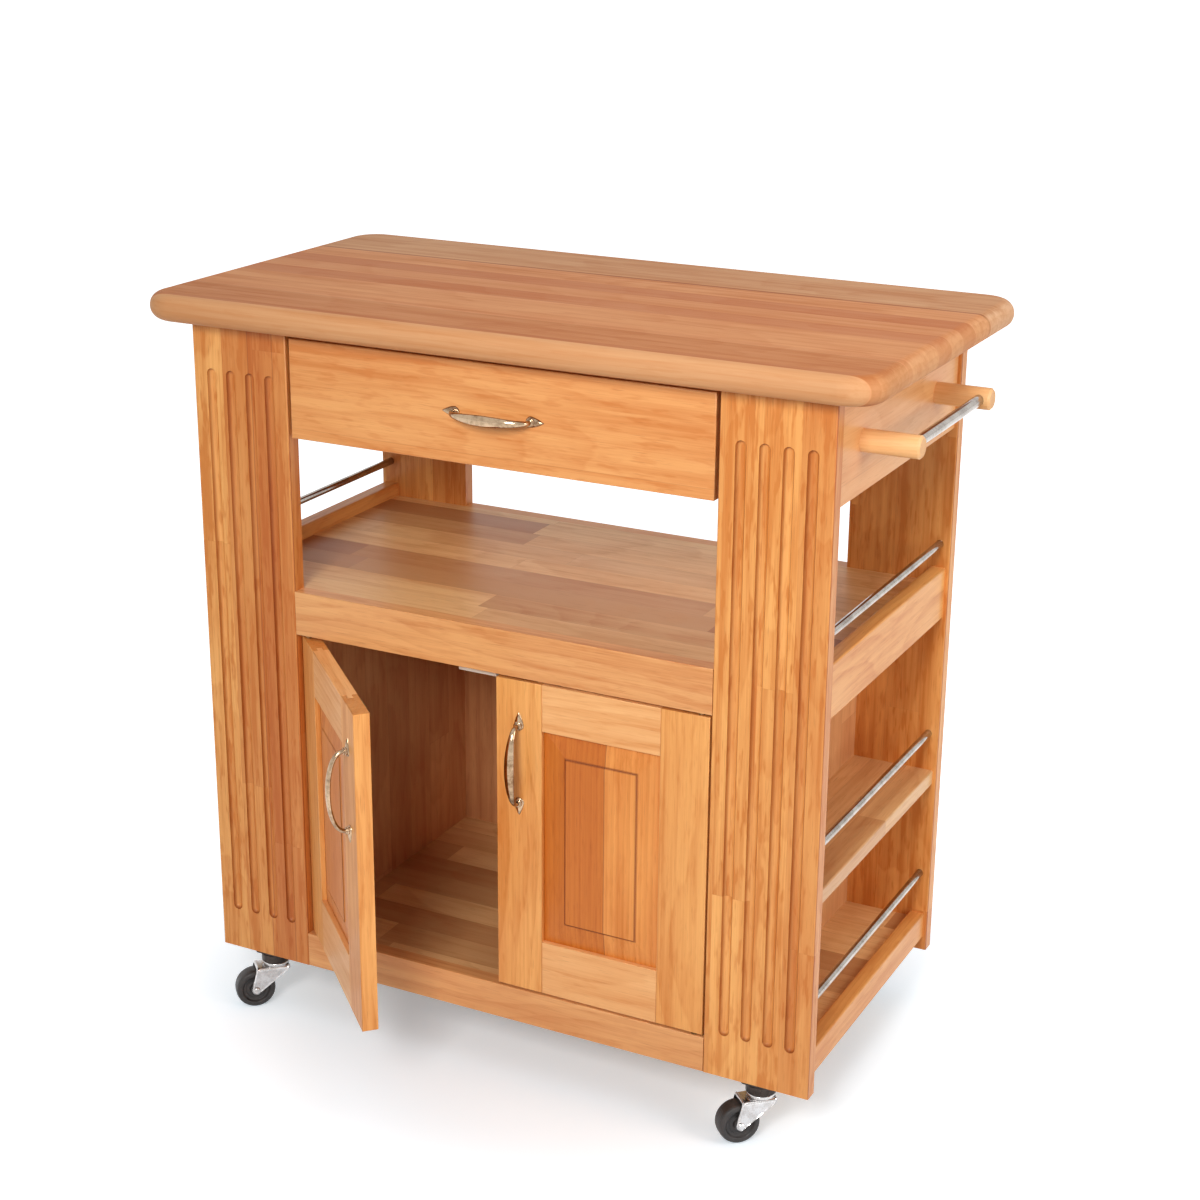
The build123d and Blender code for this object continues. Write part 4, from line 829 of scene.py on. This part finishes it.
def lathe(profile, centre=(0, 0, 0), axis="z", around=40):
    """A profile of (radius, height) turned about an axis; it starts and ends near the axis."""
    radius, height = np.array(profile, float).T
    turn = np.linspace(0, 2 * math.pi, around, endpoint=False)
    one, two = radius[:, None] * np.cos(turn), radius[:, None] * np.sin(turn)
    tall = np.broadcast_to(height[:, None], one.shape)
    order = {"z": (one, two, tall), "y": (one, tall, two), "x": (tall, one, two)}[axis]
    return np.stack(order, -1) + np.array(centre, float)


def rounded(corners, reach, steps=5):
    """A broken line with each inner corner swapped for a parabola that starts and ends at most
    reach before and after it."""
    points = np.array(corners, float)
    out = [points[:1]]
    u = np.linspace(0, 1, steps)[:, None]
    for before, corner, after in zip(points[:-2], points[1:-1], points[2:]):
        back, on = before - corner, after - corner
        cut = min(reach, 0.45 * np.linalg.norm(back), 0.45 * np.linalg.norm(on))
        a, b = corner + back / np.linalg.norm(back) * cut, corner + on / np.linalg.norm(on) * cut
        out.append((1 - u) ** 2 * a + 2 * u * (1 - u) * corner + u ** 2 * b)
    out.append(points[-1:])
    return np.concatenate(out)


COLLAR = (
    (0.01, 0), (5.0, 0), (5.0, 3.4), (4.1, 3.9), (3.7, 4.5), (4.3, 4.9), (4.3, 5.6), (3.4, 6.0),
    (0.01, 6.0),
)


def pull_skins():
    """The whole casting, along X with its feet on y = 0 and its bow towards -Y."""
    skins = [bow_skin()]
    for end in (-1, 1):
        skins.append(foot_skin(end))
        ring = lathe(rounded(COLLAR, 0.35, 4), axis="y", around=32) * np.array([1, -1, 1])
        skins.append(skin((ring + np.array([end * HALF_CENTRES, 0, 0])) * MM))
    return skins


print("pull faces:", sum(len(q) + len(t) for _, q, t in pull_skins()))

# %% Fit the three pulls
def middle(name):
    low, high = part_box(name)
    return (np.array(low) + np.array(high)) / 2


FRONT_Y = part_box("right_door_free_stile")[0][1]
DOOR_X, _, DOOR_Z = middle("right_door_pull")
PIVOT = np.array(LEFT_TURN[0])


def on_drawer(points):
    return points + np.array([0.0, FRONT_Y, middle("drawer_pull")[2]])


def on_right_door(points):
    upright = np.stack([points[:, 2], points[:, 1], -points[:, 0]], -1)
    return upright + np.array([DOOR_X, FRONT_Y, DOOR_Z])


def on_left_door(points):
    """Mirrored from the right door and swung open about the left pivot."""
    placed = on_right_door(points) * np.array([-1, 1, 1]) - PIVOT
    cos, sin = math.cos(LEFT_OPEN), math.sin(LEFT_OPEN)
    x = placed[:, 0] * cos - placed[:, 1] * sin
    y = placed[:, 0] * sin + placed[:, 1] * cos
    return np.stack([x, y, placed[:, 2]], -1) + PIVOT


for name, body, place in (
    ("drawer_pull", "drawer", on_drawer),
    ("right_door_pull", "right_door", on_right_door),
    ("left_door_pull", "left_door", on_left_door),
):
    skins = moved(pull_skins(), place)
    make_piece(name + "_casting", skins, pull_metal, body, "pull_metal", name)

# %% [markdown]
# ## Casters
# A small caster is a pressed chrome fork under a dark ball race, with a moulded black wheel. The
# fork is one strip of sheet that runs up one leg, over the wheel and down the other. So it is
# modelled as that strip: the path gives its bends, the side view gives its width at each height,
# and a bead pressed along both edges stiffens it, which is what catches the light.

# %% Where the casters stand
CORNERS = ("front_left", "front_right", "rear_left", "rear_right")
TRAIL, WHEEL_R = 28.0, 25.0
HEADING = math.radians(-136.0)
LEG_IN, SHEET, BRIDGE_UNDER, BRIDGE_THICK = 12.4, 2.4, 52.2, 3.4
FORK_TOP, FORK_BEND = 52.6, 2.0
FORK_ROUNDS = np.array([(-13.0, FORK_TOP, 3.0), (TRAIL, WHEEL_R, 6.0), (24.0, FORK_TOP, 3.0)])
BEAD_TALL, BEAD_IN, BEAD_WIDE = 0.8, 1.7, 0.75


def stem_of(corner):
    """The stem's place: the wheel's middle, one trail back along the heading."""
    hub = middle("caster_wheel_" + corner) / MM
    return hub[0] - TRAIL * math.cos(HEADING), hub[1] - TRAIL * math.sin(HEADING)


def to_corner(corner):
    """Turns millimetres round the stem to the heading, moves them there and gives metres."""
    x0, y0 = stem_of(corner)
    cos, sin = math.cos(HEADING), math.sin(HEADING)

    def change(points):
        x = points[..., 0] * cos - points[..., 1] * sin + x0
        y = points[..., 0] * sin + points[..., 1] * cos + y0
        return np.stack([x, y, points[..., 2]], -1) * MM

    return change


print("stems:", {corner: tuple(round(v, 1) for v in stem_of(corner)) for corner in CORNERS})

# %% The fork as a strip of sheet
def side_limits(z):
    """How far the fork's side view reaches at each height: the furthest back and front of all
    circles that slide and grow between the bearing's and the axle's rounds."""
    t = np.linspace(0, 1, 160)[:, None, None]
    pairs = FORK_ROUNDS[[0, 2]] * (1 - t) + FORK_ROUNDS[1] * t
    x, centre, radius = (pairs[..., i][..., None] for i in range(3))
    room = radius ** 2 - (z - centre) ** 2
    reach = np.sqrt(np.clip(room, 0, None))
    back = np.where(room >= 0, x - reach, 1e3).min((0, 1))
    front = np.where(room >= 0, x + reach, -1e3).max((0, 1))
    return back, front


def fork_skin(up=30, bend=9, over=10):
    """The sheet's inside runs up at y = -12.4, round a bend, across and down at y = 12.4. At each
    stop the outline goes along the outside, where a bead follows both edges, and back inside."""
    low = FORK_ROUNDS[1, 1] - FORK_ROUNDS[1, 2]
    rise = 1 - np.cos(np.linspace(0.06, 1, up) * math.pi / 2)
    leg = low + (BRIDGE_UNDER - FORK_BEND - low) * rise
    a = np.linspace(0, math.pi / 2, bend + 2)[1:-1]
    half_y = np.concatenate([
        np.full(up, -LEG_IN),
        -LEG_IN + FORK_BEND * (1 - np.cos(a)),
        np.linspace(-LEG_IN + FORK_BEND, 0, over),
    ])
    half_z = np.concatenate([
        leg,
        BRIDGE_UNDER - FORK_BEND + FORK_BEND * np.sin(a),
        np.full(over, BRIDGE_UNDER),
    ])
    y = np.concatenate([half_y, -half_y[-2::-1]])
    z = np.concatenate([half_z, half_z[-2::-1]])
    ahead = np.stack([np.gradient(y), np.gradient(z)], 1)
    ahead /= np.linalg.norm(ahead, axis=1, keepdims=True)
    out = np.stack([-ahead[:, 1], ahead[:, 0]], 1)
    thick = SHEET + (BRIDGE_THICK - SHEET) * np.clip(out[:, 1], 0, 1) ** 2
    back, front = side_limits(np.minimum(z, FORK_TOP))
    span = front - back
    v = 0.5 - 0.5 * np.cos(np.linspace(0, math.pi, 25))
    x_out = back[:, None] + span[:, None] * v
    edge = np.minimum(x_out - back[:, None], front[:, None] - x_out)
    bead = BEAD_TALL * np.exp(-((edge - BEAD_IN) / BEAD_WIDE) ** 2)
    lift = (thick - BEAD_TALL)[:, None] * (1 - np.exp(-edge / 0.25)) + bead
    x_in = x_out[:, ::-1]
    x = np.concatenate([x_out, x_in], 1)
    off = np.concatenate([np.maximum(lift, 0.5), np.zeros_like(x_in)], 1)
    sheet_y, sheet_z = (at[:, None] + out[:, i, None] * off for i, at in enumerate((y, z)))
    return skin(np.stack([x, sheet_y, sheet_z], -1))


CROWN = ((0.01, 54.0), (13.6, 54.0), (16.9, 56.6), (17.0, 59.6), (15.2, 61.0), (0.01, 61.0))
AXLE_HEAD = ((0.01, 14.4), (4.6, 14.4), (4.6, 15.2), (3.3, 16.6), (0.01, 16.8))
AXLE_PIN = ((0.01, -14.6), (3.0, -14.6), (3.0, 14.6), (0.01, 14.6))


def fork_skins():
    skins = [fork_skin(), skin(lathe(rounded(CROWN, 1.0), around=64))]
    skins.append(skin(lathe(AXLE_PIN, (TRAIL, 0, WHEEL_R), "y", 24)))
    for end in (-1, 1):
        head = lathe(rounded(AXLE_HEAD, 0.8), axis="y", around=28) * np.array([1, end, 1])
        skins.append(skin(head + np.array([TRAIL, 0, WHEEL_R])))
    return skins


for corner in CORNERS:
    node = "caster_fork_" + corner
    skins = moved(fork_skins(), to_corner(corner))
    make_piece(node + "_pressing", skins, caster_metal, "swivel_" + corner, "caster_chrome", node)

# %% [markdown]
# ## Wheels
# A moulded wheel is one profile turned about the axle: a boss, a thin web with a step, a rim, and
# a tread that is rounded at both sides. Turning gives it exactly. The tread's fine cross marks
# are cut by making its radius a wave of the angle as well.

# %% Turn the wheels
WHEEL_HALF_PROFILE = (
    (3.1, 11.6), (6.6, 11.6), (7.5, 10.8), (8.0, 7.2), (12.4, 6.6), (12.9, 7.4), (16.0, 7.6),
    (17.6, 10.4), (18.4, 11.0), (21.4, 11.0), (23.4, 10.2), (24.6, 7.6), (25.0, 4.0),
)
MARKS, MARK_DEPTH, MARK_SKEW = 56, 0.22, 0.25
TREAD_FROM, TREAD_FADE = 23.6, 1.2


def wheel_skin(around=224):
    """The half profile and its mirror image make a closed loop through the bore. On the tread the
    radius loses mark depth x (half a wave of the angle), fading to the sides."""
    half = rounded(WHEEL_HALF_PROFILE, 0.7, 4)
    (bore_r, bore_y), (flat_r, flat_y) = half[0], half[-1]
    flat = np.stack([np.full(7, flat_r), np.linspace(flat_y, -flat_y, 9)[1:-1]], 1)
    bore = np.stack([np.full(4, bore_r), np.linspace(-bore_y, bore_y, 6)[1:-1]], 1)
    profile = np.concatenate([half, flat, half[::-1] * np.array([1, -1]), bore])
    radius, side = profile.T
    turn = np.linspace(0, 2 * math.pi, around, endpoint=False)
    tread = np.clip((radius - TREAD_FROM) / TREAD_FADE, 0, 1)[:, None]
    wave = 0.5 + 0.5 * np.cos(MARKS * turn + MARK_SKEW * side[:, None])
    r = radius[:, None] - MARK_DEPTH * tread * wave ** 2
    across = np.broadcast_to(side[:, None], r.shape)
    points = np.stack([r * np.cos(turn), across, r * np.sin(turn)], -1)
    return skin(points + np.array([TRAIL, 0, WHEEL_R]), ring=True)


for corner in CORNERS:
    node = "caster_wheel_" + corner
    skins = moved([wheel_skin()], to_corner(corner))
    make_piece(node + "_moulding", skins, tyre, "roller_" + corner, "caster_tyre", node)

# %% [markdown]
# ## Screws
# Every caster plate hangs on four pan-head screws. A screw head is a dome with a cross driven
# into it. Both are one height over a disc of points: the dome falls with the distance from the
# middle, and the cross is cut where a point is near either of two lines.

# %% Drive the screws
PLATE_UNDER = 73.5
SCREW_HEAD, SCREW_TALL = 3.1, 1.5
HOLE_REACH = 13.5
CROSS_HALF, CROSS_REACH, CROSS_FADE, CROSS_DEEP = 0.13, 0.62, 0.12, 0.55


def screw_skin(place, radius, tall, spin, rings=14, around=32):
    """Height = tall x (1 - (r/R)^2.6)^0.5 less the cross, drawn down from its seat; the last two
    rows go straight up into the hole."""
    r = np.concatenate([np.linspace(0.03, 1, rings), [1.0, 0.6]]) * radius
    turn = np.linspace(0, 2 * math.pi, around, endpoint=False)
    x, y = r[:, None] * np.cos(turn), r[:, None] * np.sin(turn)
    height = tall * np.sqrt(np.clip(1 - (r / radius) ** 2.6, 0, 1))
    arm = np.minimum(np.abs(x), np.abs(y)) / radius
    end = np.clip((CROSS_REACH - r[:, None] / radius) / CROSS_FADE, 0, 1)
    cross = np.clip(1 - (arm / CROSS_HALF) ** 4, 0, 1) * end
    tall_grid = height[:, None] - CROSS_DEEP * tall * cross
    tall_grid[-2:] = np.array([-0.4, -0.8])[:, None]
    cos, sin = math.cos(spin), math.sin(spin)
    grid = np.stack([x * cos - y * sin, x * sin + y * cos, -tall_grid], -1)
    return skin((grid + np.array(place)) * MM)


spins = np.random.default_rng(7).uniform(0, math.pi, (len(CORNERS), 4))
for corner, turns in zip(CORNERS, spins):
    x0, y0 = stem_of(corner)
    spots = [(x0 + a * HOLE_REACH, y0 + b * HOLE_REACH) for a in (-1, 1) for b in (-1, 1)]
    screws = [screw_skin((*spot, PLATE_UNDER), SCREW_HEAD, SCREW_TALL, turn)
              for spot, turn in zip(spots, turns)]
    make_piece("plate_screws_" + corner, screws, zinc, "carcass", "fitting_steel")
print("plate screws:", 4 * len(CORNERS))
